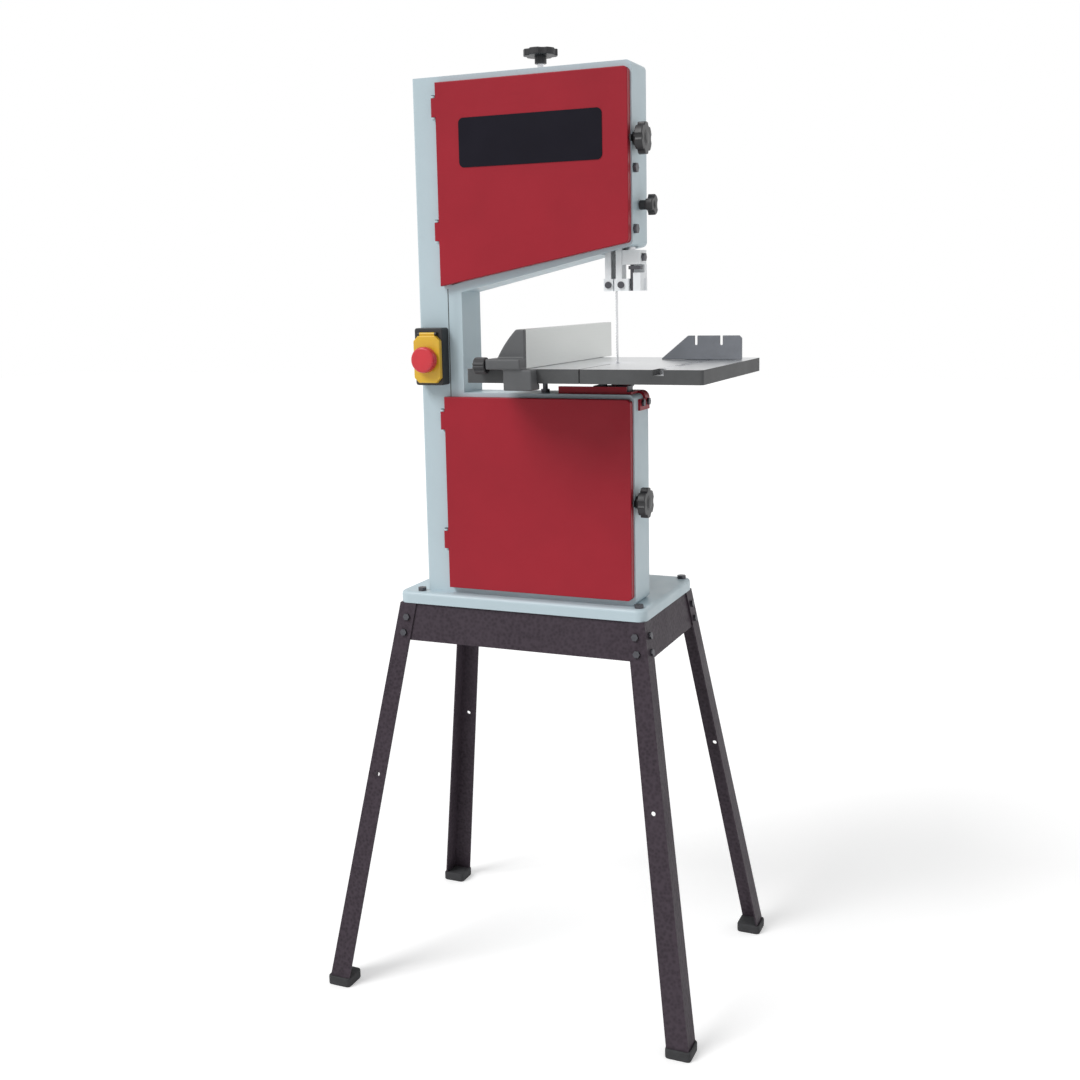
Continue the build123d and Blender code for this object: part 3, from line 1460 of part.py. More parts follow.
with BuildPart() as fence_bar:
    with BuildSketch(facing_front(fence_front + fence_length)):
        with Locations(((fence_left + fence_right) / 2, (fence_low + fence_top) / 2)):
            RectangleRounded(fence_thickness, fence_height, 1.0)
            Rectangle(fence_thickness - 2 * fence_wall, fence_height - 2 * fence_wall, mode=Mode.SUBTRACT)
    extrude(amount=fence_length)
save(fence_bar, "fence_bar")

with BuildPart() as fence_carriage:
    with BuildSketch(Plane.XY.offset(fence_low)):
        pad_y = (carriage_front + table_front + carriage_on_table) / 2
        with Locations(((carriage_left + fence_left) / 2, pad_y)):
            Rectangle(fence_left - carriage_left, carriage_ahead + carriage_on_table)
        with Locations(((carriage_left + fence_right) / 2, (carriage_front + fence_front) / 2)):
            Rectangle(fence_right - carriage_left, fence_front - carriage_front)
    extrude(amount=carriage_base)
    fillet(fence_carriage.edges().filter_by(Axis.Z).group_by(Axis.X)[0], 6.0)
    with BuildSketch(Plane.XY.offset(fence_low)):
        with Locations(((apron_left + apron_right) / 2, (carriage_front + 4 + apron_back) / 2)):
            Rectangle(carriage_apron_width, apron_back - carriage_front - 4)
    extrude(amount=-(table_edge + 2 * free_gap + carriage_hook))
    with BuildSketch(Plane.XY.offset(table_top - table_edge - free_gap)):
        hook_y = (carriage_front + 4 + table_front + table_rim + 3) / 2
        with Locations(((apron_left + apron_right) / 2, hook_y)):
            Rectangle(carriage_apron_width, table_front + table_rim + 3 - carriage_front - 4)
    extrude(amount=-carriage_hook)
    with BuildSketch(facing_front(fence_front)):
        with BuildLine():
            gusset_foot = fence_low + carriage_base
            Line((fence_right, fence_low), (fence_right, fence_top))
            Line((fence_right, fence_top), (fence_left, fence_top))
            ThreePointArc(
                (fence_left, fence_top),
                (fence_left - gusset_run * 0.55, fence_low + fence_height * 0.66),
                (fence_left - gusset_run, gusset_foot),
            )
            Line((fence_left - gusset_run, gusset_foot), (fence_left - gusset_run, fence_low))
            Line((fence_left - gusset_run, fence_low), (fence_right, fence_low))
        make_face()
    extrude(amount=gusset_thickness)
    knob_y = (carriage_front + table_front) / 2
    knob_z = fence_low + carriage_base / 3
    with BuildSketch(Plane.YZ.offset(carriage_left)):
        with Locations((knob_y, knob_z)):
            Circle(stud_radius + run_fit)
    extrude(amount=20, mode=Mode.SUBTRACT)
save(fence_carriage, "fence_carriage")

with BuildPart() as fence_knob:
    knob_plane = Plane((carriage_left - 1.0, knob_y, knob_z), x_dir=(0, 1, 0), z_dir=(-1, 0, 0))
    add(lobed_knob(knob_plane, fence_knob_radius, fence_knob_length - 1.0, 12, 2.0))
    with BuildSketch(Plane.YZ.offset(carriage_left - 1.0)):
        with Locations((knob_y, knob_z)):
            Circle(stud_radius)
    extrude(amount=18)
save(fence_knob, "fence_knob")

# ---------- Mitre gauge ----------
bar_width = mitre_groove_width - 2 * free_gap
bar_low = table_top - mitre_groove_depth + free_gap
bar_front = table_front + mitre_bar_front
head_front = case_front + mitre_head_y
pivot_y = head_front + head_sheet + 14.0
head_low = table_top + free_gap
with BuildPart() as mitre_bar:
    with BuildSketch(Plane.XY.offset(bar_low)):
        with Locations((mitre_x, bar_front + mitre_bar_length / 2)):
            Rectangle(bar_width, mitre_bar_length)
    extrude(amount=mitre_groove_depth - free_gap)
    with BuildSketch(Plane.XY.offset(table_top)):
        with Locations((mitre_x, pivot_y)):
            Circle(stud_radius + run_fit)
    extrude(amount=-5.0, mode=Mode.SUBTRACT)
save(mitre_bar, "mitre_bar")

with BuildPart() as mitre_head:
    with BuildSketch(facing_front(head_front + head_sheet)):
        with BuildLine():
            Polyline(
                (mitre_x - head_left, head_low),
                (mitre_x - head_left, head_low + 2),
                (mitre_x - head_left + head_height * 1.15, head_low + head_height),
                (mitre_x + head_right - 4, head_low + head_height),
                (mitre_x + head_right, head_low + head_height - 4),
                (mitre_x + head_right, head_low),
                close=True,
            )
        make_face()
        with Locations(
            (mitre_x - 19.0, head_low + head_height - notch_depth / 2),
            (mitre_x + 21.0, head_low + head_height - notch_depth / 2),
        ):
            Rectangle(notch_width, notch_depth + 1, mode=Mode.SUBTRACT)
    extrude(amount=head_sheet)
    with BuildSketch(Plane.XY.offset(head_low)):
        with Locations((mitre_x, pivot_y)):
            Circle(head_base_depth)
            Circle(stud_radius + run_fit, mode=Mode.SUBTRACT)
        with Locations((mitre_x, head_front - head_base_depth)):
            Rectangle(3 * head_base_depth, 2 * head_base_depth, mode=Mode.SUBTRACT)
    extrude(amount=head_base_sheet)
save(mitre_head, "mitre_head")

with BuildPart() as mitre_knob:
    knob_low = head_low + head_base_sheet + free_gap
    with BuildSketch(Plane.XY.offset(knob_low)):
        with Locations((mitre_x, pivot_y)):
            Circle(stud_radius)
    extrude(amount=-(knob_low - table_top + 4.5))
    with BuildSketch(Plane.XY.offset(knob_low)):
        with Locations((mitre_x, pivot_y)):
            Circle(8.0)
    extrude(amount=6.0)
    add(lobed_knob(Plane((mitre_x, pivot_y, knob_low + 6.0)), mitre_knob_radius, 10.0, 7, 4.0))
save(mitre_knob, "mitre_knob")

# ---------- Switch ----------
switch_x = case_left + switch_from_left + switch_width / 2
switch_low = base_top + switch_above_base
switch_front = case_front - switch_depth
switch_wall = 2.5
flap_z = switch_low + switch_height / 2 - 4.0
flap_back = switch_front - free_gap
flap_front = flap_back - flap_depth
flap_pin_z = flap_z + flap_height / 2 + 3.0
flap_pin_y = flap_back - 2.7
flap_barrel = 2.4
flap_pin = 1.2
flap_barrel_half = 13.0
start_radius = 6.0
start_z = flap_z - 22.0

with BuildPart() as switch_box:
    with BuildSketch(facing_front(case_front)):
        with Locations((switch_x, switch_low + switch_height / 2)):
            RectangleRounded(switch_width, switch_height, 4.0)
    extrude(amount=switch_depth)
    fillet(switch_box.faces().sort_by(Axis.Y)[0].edges(), 1.5)
    with BuildSketch(facing_front(case_front)):
        with Locations((switch_x, switch_low + switch_height / 2)):
            Rectangle(switch_width - 2 * switch_wall, switch_height - 2 * switch_wall)
    extrude(amount=switch_depth - switch_wall, mode=Mode.SUBTRACT)
    with BuildSketch(facing_front(switch_front + switch_wall)):
        with Locations((switch_x, start_z)):
            Circle(start_radius + run_fit)
    extrude(amount=switch_wall, mode=Mode.SUBTRACT)
    for side in (-1, 1):
        ear_x = switch_x + side * (flap_barrel_half + free_gap + 1.5)
        with BuildSketch(Plane.YZ.offset(ear_x)):
            with Locations((flap_pin_y, flap_pin_z)):
                Circle(flap_barrel)
            with Locations(((flap_pin_y + switch_front) / 2 + 0.5, flap_pin_z)):
                Rectangle(switch_front - flap_pin_y + 1.0, 2 * flap_barrel)
        extrude(amount=1.5, both=True)
    with BuildSketch(Plane.YZ.offset(switch_x)):
        with Locations((flap_pin_y, flap_pin_z)):
            Circle(flap_pin)
    extrude(amount=flap_barrel_half + free_gap + 2.0, both=True)
save(switch_box, "switch_box")

with BuildPart() as switch_flap:
    with BuildSketch(facing_front(flap_back)) as flap_outline:
        with Locations((switch_x, flap_z)):
            Rectangle(flap_width, flap_height)
        chamfer(flap_outline.vertices(), flap_chamfer)
    extrude(amount=flap_depth)
    fillet(switch_flap.faces().sort_by(Axis.Y)[0].edges(), 1.5)
    with BuildSketch(facing_front(flap_back)):
        with Locations((switch_x, flap_z)):
            Rectangle(flap_width - 14.0, flap_height - 8.0)
    extrude(amount=flap_depth - 2.5, mode=Mode.SUBTRACT)
    with BuildSketch(facing_front(flap_front + 2.5)):
        with Locations((switch_x, flap_z)):
            Circle(8.0 + run_fit)
    extrude(amount=2.5, mode=Mode.SUBTRACT)
    with BuildSketch(Plane.YZ.offset(switch_x)):
        with Locations((flap_pin_y, flap_pin_z)):
            Circle(flap_barrel)
        with Locations((flap_pin_y, flap_pin_z - 2.5)):
            Rectangle(flap_barrel * 1.4, 4.0)
    extrude(amount=flap_barrel_half, both=True)
    with BuildSketch(Plane.YZ.offset(switch_x)):
        with Locations((flap_pin_y, flap_pin_z)):
            Circle(flap_pin + run_fit)
    extrude(amount=flap_barrel_half, both=True, mode=Mode.SUBTRACT)
save(switch_flap, "switch_flap")

with BuildPart() as stop_button:
    with BuildSketch(facing_front(flap_front + 2.8)):
        with Locations((switch_x, flap_z)):
            Circle(8.0)
    extrude(amount=2.8 + stop_travel + free_gap)
    with BuildSketch(facing_front(flap_front - stop_travel - free_gap)):
        with Locations((switch_x, flap_z)):
            Circle(stop_radius)
    extrude(amount=stop_depth)
    fillet(stop_button.faces().sort_by(Axis.Y)[0].edges(), 4.0)
save(stop_button, "stop_button")

with BuildPart() as start_button:
    with BuildSketch(facing_front(switch_front + switch_wall + 4.0)):
        with Locations((switch_x, start_z)):
            Circle(start_radius)
    extrude(amount=switch_wall + 4.0 + start_travel)
    with BuildSketch(facing_front(switch_front + switch_wall + start_travel + 2.0)):
        with Locations((switch_x, start_z)):
            Circle(start_radius + 2.0)
    extrude(amount=1.5)
save(start_button, "start_button")

# ---------- Hex bolts of the frame ----------
bolt_head = 7.4
bolt_head_height = 5.3
small_head = 5.8
small_head_height = 3.6
with BuildPart() as hex_bolts:
    nut_top = stand_height - rail_sheet
    with BuildSketch(Plane.XY.offset(base_top)):
        with Locations(*base_bolt_spots):
            RegularPolygon(bolt_head, 6)
    extrude(amount=bolt_head_height)
    with BuildSketch(Plane.XY.offset(base_top)):
        with Locations(*base_bolt_spots):
            Circle(base_bolt_radius)
    extrude(amount=-(base_height + rail_sheet + 9))
    with BuildSketch(Plane.XY.offset(nut_top)):
        with Locations(*base_bolt_spots):
            RegularPolygon(bolt_head, 6)
    extrude(amount=-6.0)
    bracket_spots = [(bracket_bolt_y, height) for height in bracket_bolt_heights]
    with BuildSketch(Plane.YZ.offset(case_right)):
        with Locations(*bracket_spots):
            RegularPolygon(bolt_head, 6)
    extrude(amount=bolt_head_height)
    with BuildSketch(Plane.YZ.offset(case_right)):
        with Locations(*bracket_spots):
            Circle(base_bolt_radius)
    extrude(amount=-(case_sheet + bracket_plate))
    with BuildSketch(Plane.YZ.offset(case_right + strap_sheet)):
        with Locations(*trunnion_bolt_spots):
            RegularPolygon(small_head, 6)
    extrude(amount=small_head_height)
    with BuildSketch(Plane.YZ.offset(case_right + strap_sheet)):
        with Locations(*trunnion_bolt_spots):
            Circle(motor_bolt_radius)
    extrude(amount=-(strap_sheet + case_sheet + 6))
    with BuildSketch(Plane.YZ.offset(case_right - case_sheet)):
        with Locations(*trunnion_bolt_spots):
            RegularPolygon(small_head, 6)
    extrude(amount=-4.5)
    with BuildSketch(facing_front(motor_front)):
        with Locations(*motor_bolt_spots):
            RegularPolygon(small_head, 6)
    extrude(amount=-small_head_height)
    with BuildSketch(facing_front(motor_front)):
        with Locations(*motor_bolt_spots):
            Circle(motor_bolt_radius)
    extrude(amount=motor_flange_sheet + case_sheet + 4.5)
    with BuildSketch(facing_front(case_back - case_sheet)):
        with Locations(*motor_bolt_spots):
            RegularPolygon(small_head, 6)
    extrude(amount=4.0)
    guide_spot = (guide_bolt_x, wheel_y)
    with BuildSketch(Plane.XY.offset(lower_case_top + guide_foot_height)):
        with Locations(guide_spot):
            RegularPolygon(bolt_head, 6)
    extrude(amount=bolt_head_height)
    with BuildSketch(Plane.XY.offset(lower_case_top + guide_foot_height)):
        with Locations(guide_spot):
            Circle(base_bolt_radius)
    extrude(amount=-(guide_foot_height + case_sheet + 4))
    stop_spot = (stop_bolt_x, stop_bolt_y)
    with BuildSketch(Plane.XY.offset(lower_case_top - case_sheet - 4)):
        with Locations(stop_spot):
            Circle(base_bolt_radius)
    extrude(amount=table_top - table_sheet - free_gap - lower_case_top + case_sheet + 4)
    for z, height in ((lower_case_top, 5.0), (lower_case_top - case_sheet - 3.8, 3.8)):
        with BuildSketch(Plane.XY.offset(z)):
            with Locations(stop_spot):
                RegularPolygon(bolt_head, 6)
        extrude(amount=height)
save(hex_bolts, "hex_bolts")
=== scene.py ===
import json
import math

import bmesh
import bpy
from mathutils import Matrix, Vector


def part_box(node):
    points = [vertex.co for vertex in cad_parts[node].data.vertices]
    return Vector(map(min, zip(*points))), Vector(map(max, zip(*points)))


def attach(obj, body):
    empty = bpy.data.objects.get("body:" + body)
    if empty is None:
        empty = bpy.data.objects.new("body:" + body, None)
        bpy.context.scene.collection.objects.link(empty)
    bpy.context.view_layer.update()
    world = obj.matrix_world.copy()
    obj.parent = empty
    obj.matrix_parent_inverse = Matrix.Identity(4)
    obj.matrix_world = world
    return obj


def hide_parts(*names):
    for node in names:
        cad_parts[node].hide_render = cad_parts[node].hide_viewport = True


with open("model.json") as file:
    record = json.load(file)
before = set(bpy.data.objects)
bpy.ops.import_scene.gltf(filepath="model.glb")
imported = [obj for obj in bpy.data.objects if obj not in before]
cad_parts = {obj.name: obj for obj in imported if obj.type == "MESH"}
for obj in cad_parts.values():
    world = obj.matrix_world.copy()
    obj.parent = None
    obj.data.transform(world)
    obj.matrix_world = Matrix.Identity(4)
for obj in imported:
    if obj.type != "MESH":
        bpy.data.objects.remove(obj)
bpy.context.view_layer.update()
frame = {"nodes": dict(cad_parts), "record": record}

MM = 0.001
nodes = frame["nodes"]
scene = bpy.context.scene
slot_of = {part["node"]: part["material_slot"] for part in frame["record"]["subparts"]}


# ---------- Camera ----------
AZIMUTH = math.radians(23.26)
PITCH = math.radians(8.8)
ROLL = math.radians(-1.1)
CAMERA_PLACE = (0.8196, -1.9184, 1.1296)
SENSOR_WIDTH = 36.0
FOCAL_LENGTH = 43.49
SHIFT_X = -0.0052
SHIFT_Y = -0.0442


def make_camera():
    """Camera to the front right of the saw, looking slightly down and rolled a little."""
    forward = Vector((
        -math.sin(AZIMUTH) * math.cos(PITCH),
        math.cos(AZIMUTH) * math.cos(PITCH),
        -math.sin(PITCH),
    ))
    level_right = Vector((math.cos(AZIMUTH), math.sin(AZIMUTH), 0.0))
    level_up = level_right.cross(forward)
    right = level_right * math.cos(ROLL) + level_up * math.sin(ROLL)
    up = level_up * math.cos(ROLL) - level_right * math.sin(ROLL)
    data = bpy.data.cameras.new("camera")
    data.sensor_width = SENSOR_WIDTH
    data.lens = FOCAL_LENGTH
    data.shift_x = SHIFT_X
    data.shift_y = SHIFT_Y
    data.clip_end = 60.0
    camera = bpy.data.objects.new("camera", data)
    scene.collection.objects.link(camera)
    turn = Matrix((right, up, -forward)).transposed().to_4x4()
    camera.matrix_world = Matrix.Translation(CAMERA_PLACE) @ turn
    scene.camera = camera


make_camera()


# ---------- Node helpers ----------
MIX_FIRST = 6       # the Mix node's colour sockets share their names with others, so they go by number
MIX_SECOND = 7
MIX_RESULT = 2


def new_material(name):
    """A node material, with its tree, its Principled shader and its texture coordinates."""
    material = bpy.data.materials.new(name)
    material.use_nodes = True
    tree = material.node_tree
    shader = tree.nodes["Principled BSDF"]
    space = tree.nodes.new("ShaderNodeTexCoord")
    return material, tree, shader, space


def noise(tree, space, scale, detail=3.0, roughness=0.55, stretch=None):
    """A noise texture in object space, in cycles per metre, stretched if asked."""
    texture = tree.nodes.new("ShaderNodeTexNoise")
    texture.inputs["Scale"].default_value = scale
    texture.inputs["Detail"].default_value = detail
    texture.inputs["Roughness"].default_value = roughness
    source = space.outputs["Object"]
    if stretch:
        mapping = tree.nodes.new("ShaderNodeMapping")
        mapping.inputs["Scale"].default_value = stretch
        tree.links.new(source, mapping.inputs["Vector"])
        source = mapping.outputs["Vector"]
    tree.links.new(source, texture.inputs["Vector"])
    return texture.outputs["Fac"]


def ramp(tree, value, stops):
    """A colour ramp with the given (place, colour) stops."""
    node = tree.nodes.new("ShaderNodeValToRGB")
    elements = node.color_ramp.elements
    for element, (place, colour) in zip(elements, stops):
        element.position = place
        element.color = (*colour, 1.0)
    tree.links.new(value, node.inputs["Fac"])
    return node.outputs["Color"]


def spread(tree, value, low, high, from_low=0.3, from_high=0.7):
    """Maps a texture value onto a range."""
    node = tree.nodes.new("ShaderNodeMapRange")
    node.inputs["From Min"].default_value = from_low
    node.inputs["From Max"].default_value = from_high
    node.inputs["To Min"].default_value = low
    node.inputs["To Max"].default_value = high
    tree.links.new(value, node.inputs["Value"])
    return node.outputs["Result"]


def calculate(tree, operation, first, second):
    """A Math node on an output and on another output or a plain number."""
    node = tree.nodes.new("ShaderNodeMath")
    node.operation = operation
    tree.links.new(first, node.inputs[0])
    if isinstance(second, float):
        node.inputs[1].default_value = second
    else:
        tree.links.new(second, node.inputs[1])
    return node.outputs[0]


def upward_part(tree, vector):
    """The Z part of a vector output."""
    node = tree.nodes.new("ShaderNodeSeparateXYZ")
    tree.links.new(vector, node.inputs["Vector"])
    return node.outputs["Z"]


def mix_colour(tree, factor, first, second):
    """Mixes two colours, each an output or a plain colour, by a factor."""
    node = tree.nodes.new("ShaderNodeMix")
    node.data_type = "RGBA"
    for value, index in ((first, MIX_FIRST), (second, MIX_SECOND)):
        if isinstance(value, tuple):
            node.inputs[index].default_value = (*value, 1.0)
        else:
            tree.links.new(value, node.inputs[index])
    tree.links.new(factor, node.inputs["Factor"])
    return node.outputs[MIX_RESULT]


def bump(tree, shader, height, strength, distance):
    """Gives the shader a bump, with its full height in millimetres."""
    node = tree.nodes.new("ShaderNodeBump")
    node.inputs["Strength"].default_value = strength
    node.inputs["Distance"].default_value = distance * MM
    tree.links.new(height, node.inputs["Height"])
    tree.links.new(node.outputs["Normal"], shader.inputs["Normal"])


def shade(colour, factor):
    """A lighter or darker copy of a colour."""
    return tuple(min(1.0, channel * factor) for channel in colour)


# ---------- Materials ----------
def paint(name, colour, rough=0.38, variation=0.08, peel=0.25, coat=0.25, shine=0.35):
    """Sprayed enamel: slight tone drift, orange peel and rubbed patches."""
    material, tree, shader, space = new_material(name)
    drift = noise(tree, space, scale=5.0, detail=4.0)
    tone = ramp(tree, drift, [(0.3, shade(colour, 1 - variation)), (0.7, shade(colour, 1 + variation))])
    tree.links.new(tone, shader.inputs["Base Color"])
    rubbed = noise(tree, space, scale=28.0, detail=5.0, roughness=0.65)
    tree.links.new(spread(tree, rubbed, rough - 0.06, rough + 0.10), shader.inputs["Roughness"])
    shader.inputs["Specular IOR Level"].default_value = shine
    shader.inputs["Coat Weight"].default_value = coat
    shader.inputs["Coat Roughness"].default_value = 0.18
    bump(tree, shader, noise(tree, space, scale=420.0, detail=2.0), strength=peel, distance=0.4)
    return material


def hammered(name, colour):
    """Dark hammered enamel: shallow round dimples with lighter ridges, and worn patches."""
    material, tree, shader, space = new_material(name)
    cells = tree.nodes.new("ShaderNodeTexVoronoi")
    cells.feature = "SMOOTH_F1"
    cells.inputs["Scale"].default_value = 190.0
    cells.inputs["Smoothness"].default_value = 0.6
    tree.links.new(space.outputs["Object"], cells.inputs["Vector"])
    ridges = spread(tree, cells.outputs["Distance"], 0.0, 1.0, from_low=0.1, from_high=0.7)
    flecks = mix_colour(tree, ridges, shade(colour, 0.85), shade(colour, 1.5))
    patches = noise(tree, space, scale=9.0, detail=5.0, roughness=0.6)
    wear = spread(tree, patches, 0.0, 0.45, from_low=0.35, from_high=0.8)
    worn = mix_colour(tree, wear, flecks, shade(colour, 1.9))
    tree.links.new(worn, shader.inputs["Base Color"])
    tree.links.new(spread(tree, patches, 0.36, 0.55), shader.inputs["Roughness"])
    shader.inputs["Specular IOR Level"].default_value = 0.10
    bump(tree, shader, cells.outputs["Distance"], strength=0.5, distance=0.6)
    return material


def metal(name, colour, rough=0.3, grain=(40.0, 40.0, 900.0), variation=0.1):
    """Machined or drawn metal with a fine directional grain, in cycles per metre along X, Y and Z."""
    material, tree, shader, space = new_material(name)
    lines = noise(tree, space, scale=1.0, detail=6.0, roughness=0.6, stretch=grain)
    tone = ramp(tree, lines, [(0.3, shade(colour, 1 - variation)), (0.7, shade(colour, 1 + variation))])
    tree.links.new(tone, shader.inputs["Base Color"])
    shader.inputs["Metallic"].default_value = 1.0
    tree.links.new(spread(tree, lines, rough - 0.07, rough + 0.1), shader.inputs["Roughness"])
    bump(tree, shader, lines, strength=0.15, distance=0.2)
    return material


def cast(name, colour, rough=0.55, metallic=0.0):
    """Rough sand casting, under thin paint or bare."""
    material, tree, shader, space = new_material(name)
    sand = noise(tree, space, scale=330.0, detail=5.0, roughness=0.7)
    drift = noise(tree, space, scale=16.0, detail=4.0, roughness=0.6)
    tone = ramp(tree, drift, [(0.3, shade(colour, 0.85)), (0.72, shade(colour, 1.2))])
    tree.links.new(tone, shader.inputs["Base Color"])
    shader.inputs["Metallic"].default_value = metallic
    tree.links.new(spread(tree, drift, rough - 0.08, rough + 0.08), shader.inputs["Roughness"])
    bump(tree, shader, sand, strength=0.4, distance=0.6)
    return material


def plastic(name, colour, rough=0.4):
    """Moulded plastic: fine spark texture, slightly duller in places."""
    material, tree, shader, space = new_material(name)
    drift = noise(tree, space, scale=30.0)
    tone = ramp(tree, drift, [(0.3, shade(colour, 0.94)), (0.7, shade(colour, 1.06))])
    tree.links.new(tone, shader.inputs["Base Color"])
    tree.links.new(spread(tree, drift, rough - 0.05, rough + 0.08), shader.inputs["Roughness"])
    bump(tree, shader, noise(tree, space, scale=900.0, detail=2.0), strength=0.15, distance=0.2)
    return material


def rubber(name, colour, rough=0.75):
    """Matte rubber with a dusty bloom."""
    material, tree, shader, space = new_material(name)
    dust = noise(tree, space, scale=60.0, detail=6.0, roughness=0.7)
    tone = ramp(tree, dust, [(0.4, colour), (0.8, shade(colour, 2.4))])
    tree.links.new(tone, shader.inputs["Base Color"])
    tree.links.new(spread(tree, dust, rough - 0.05, rough + 0.15), shader.inputs["Roughness"])
    bump(tree, shader, noise(tree, space, scale=500.0), strength=0.3, distance=0.4)
    return material


def ground_table(name, top_colour, side_colour):
    """Cast table: ground bare top with fine milling lines, painted rough sides and underside."""
    material, tree, shader, space = new_material(name)
    level_enough = 0.8
    lowest_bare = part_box("table")[1].z - 10 * MM
    level = calculate(tree, "GREATER_THAN", upward_part(tree, space.outputs["Normal"]), level_enough)
    high = calculate(tree, "GREATER_THAN", upward_part(tree, space.outputs["Object"]), lowest_bare)
    bare = calculate(tree, "MULTIPLY", level, high)
    lines = noise(tree, space, scale=1.0, detail=6.0, roughness=0.6, stretch=(700.0, 30.0, 30.0))
    blotch = noise(tree, space, scale=14.0, detail=5.0, roughness=0.6)
    bright = ramp(tree, lines, [(0.3, shade(top_colour, 0.94)), (0.7, shade(top_colour, 1.05))])
    tarnish = spread(tree, blotch, 0.0, 0.22, from_low=0.45, from_high=0.85)
    bright = mix_colour(tree, tarnish, bright, shade(top_colour, 0.72))
    dark = ramp(tree, blotch, [(0.3, shade(side_colour, 0.8)), (0.7, shade(side_colour, 1.25))])
    tree.links.new(mix_colour(tree, bare, dark, bright), shader.inputs["Base Color"])
    tree.links.new(bare, shader.inputs["Metallic"])
    rough = spread(tree, bare, 0.62, 0.34, from_low=0.0, from_high=1.0)
    tree.links.new(rough, shader.inputs["Roughness"])
    sand = noise(tree, space, scale=300.0, detail=4.0, roughness=0.7)
    bump(tree, shader, sand, strength=0.12, distance=0.3)
    return material


# One finish for each material slot of the record.
looks = {
    "stand_paint": hammered("stand_enamel", (0.040, 0.031, 0.039)),
    "frame_paint": paint("frame_enamel", (0.50, 0.61, 0.66), rough=0.40, variation=0.03, coat=0.1),
    "red_paint": paint(
        "red_enamel", (0.335, 0.016, 0.029), rough=0.40, variation=0.10, coat=0.05, shine=0.18
    ),
    "plate": paint(
        "plate_enamel", (0.007, 0.006, 0.012), variation=0.2, peel=0.1, coat=0.0, shine=0.12
    ),
    "black_plastic": plastic("black_moulding", (0.016, 0.016, 0.018), rough=0.42),
    "dark_steel": metal("black_steel", (0.09, 0.09, 0.10), rough=0.42),
    "steel": metal("plain_steel", (0.60, 0.61, 0.63), rough=0.28),
    "blade_steel": metal("blade_steel", (0.62, 0.63, 0.65), rough=0.25, grain=(60.0, 900.0, 60.0)),
    "cast_wheel": cast("wheel_casting", (0.66, 0.67, 0.69), rough=0.42, metallic=1.0),
    "rubber": rubber("black_rubber", (0.022, 0.022, 0.024)),
    "motor_paint": paint("motor_enamel", (0.045, 0.048, 0.052), rough=0.45, variation=0.15),
    "cast_table": ground_table("table_casting", (0.62, 0.63, 0.64), (0.060, 0.062, 0.064)),
    "fence_metal": metal(
        "fence_extrusion", (0.56, 0.575, 0.565), rough=0.42, grain=(30.0, 8.0, 700.0), variation=0.05
    ),
    "dark_casting": cast("grey_casting", (0.085, 0.088, 0.092), rough=0.5),
    "white_paint": paint("white_enamel", (0.86, 0.89, 0.91), rough=0.4, variation=0.03),
    "white_plastic": plastic("white_moulding", (0.86, 0.89, 0.91), rough=0.35),
    "yellow_plastic": plastic("yellow_moulding", (0.75, 0.47, 0.035), rough=0.30),
    "red_plastic": plastic("red_moulding", (0.62, 0.030, 0.045), rough=0.28),
    "green_plastic": plastic("green_moulding", (0.02, 0.26, 0.07), rough=0.30),
    "insert": metal("insert_metal", (0.66, 0.67, 0.69), rough=0.34),
}
# Nodes whose finish differs from the rest of their slot.
special = {
    "mitre_head": cast("mitre_casting", (0.17, 0.18, 0.20), rough=0.45, metallic=0.3),
    "table_trunnion": cast("trunnion_casting", (0.085, 0.088, 0.090), rough=0.6),
}


def finish_of(name):
    """The material of a CAD node."""
    return special.get(name, looks[slot_of[name]])


for name in slot_of:
    node = nodes[name]
    if not node.data.materials:
        node.data.materials.append(finish_of(name))
    for slot in node.material_slots:
        slot.material = finish_of(name)


# ---------- Mesh helpers ----------
def add_piece(name, mesh, body, slot, replaced=(), smooth=40.0, material=None):
    """Turns a bmesh into a finished piece that rides on a body."""
    data = bpy.data.meshes.new(name)
    bmesh.ops.recalc_face_normals(mesh, faces=mesh.faces)
    mesh.to_mesh(data)
    mesh.free()
    data.materials.append(material or looks[slot])
    for polygon in data.polygons:
        polygon.use_smooth = True
    data.set_sharp_from_angle(angle=math.radians(smooth))
    piece = bpy.data.objects.new(name, data)
    scene.collection.objects.link(piece)
    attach(piece, body)
    if replaced:
        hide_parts(*replaced)


def lathe(mesh, centre, axis, profile, steps):
    """Adds a turned shape: (radius, height) pairs round an axis."""
    axis = Vector(axis).normalized()
    side = axis.orthogonal().normalized()
    other = axis.cross(side)
    rings = []
    for radius, height in profile:
        if radius == 0:
            rings.append([mesh.verts.new(Vector(centre) + axis * height)])
            continue
        ring = []
        for step in range(steps):
            angle = 2 * math.pi * step / steps
            spoke = side * math.cos(angle) + other * math.sin(angle)
            ring.append(mesh.verts.new(Vector(centre) + axis * height + spoke * radius))
        rings.append(ring)
    for first, second in zip(rings, rings[1:]):
        for step in range(steps):
            after = (step + 1) % steps
            corners = []
            for ring, index in ((first, step), (first, after), (second, after), (second, step)):
                vertex = ring[index if len(ring) > 1 else 0]
                if vertex not in corners:
                    corners.append(vertex)
            if len(corners) > 2:
                mesh.faces.new(corners)


# ---------- Saw band ----------
TEETH = 420
TOOTH_DEPTH = 2.4 * MM
TOOTH_SET = 0.05 * MM
BAND_THICK = 0.6 * MM
EDGE_BEVEL = 0.05 * MM
TOOTH_PROFILE = ((0.0, 1.0), (0.30, 0.9), (0.62, 0.45), (0.96, 0.0))    # shares of pitch and of depth


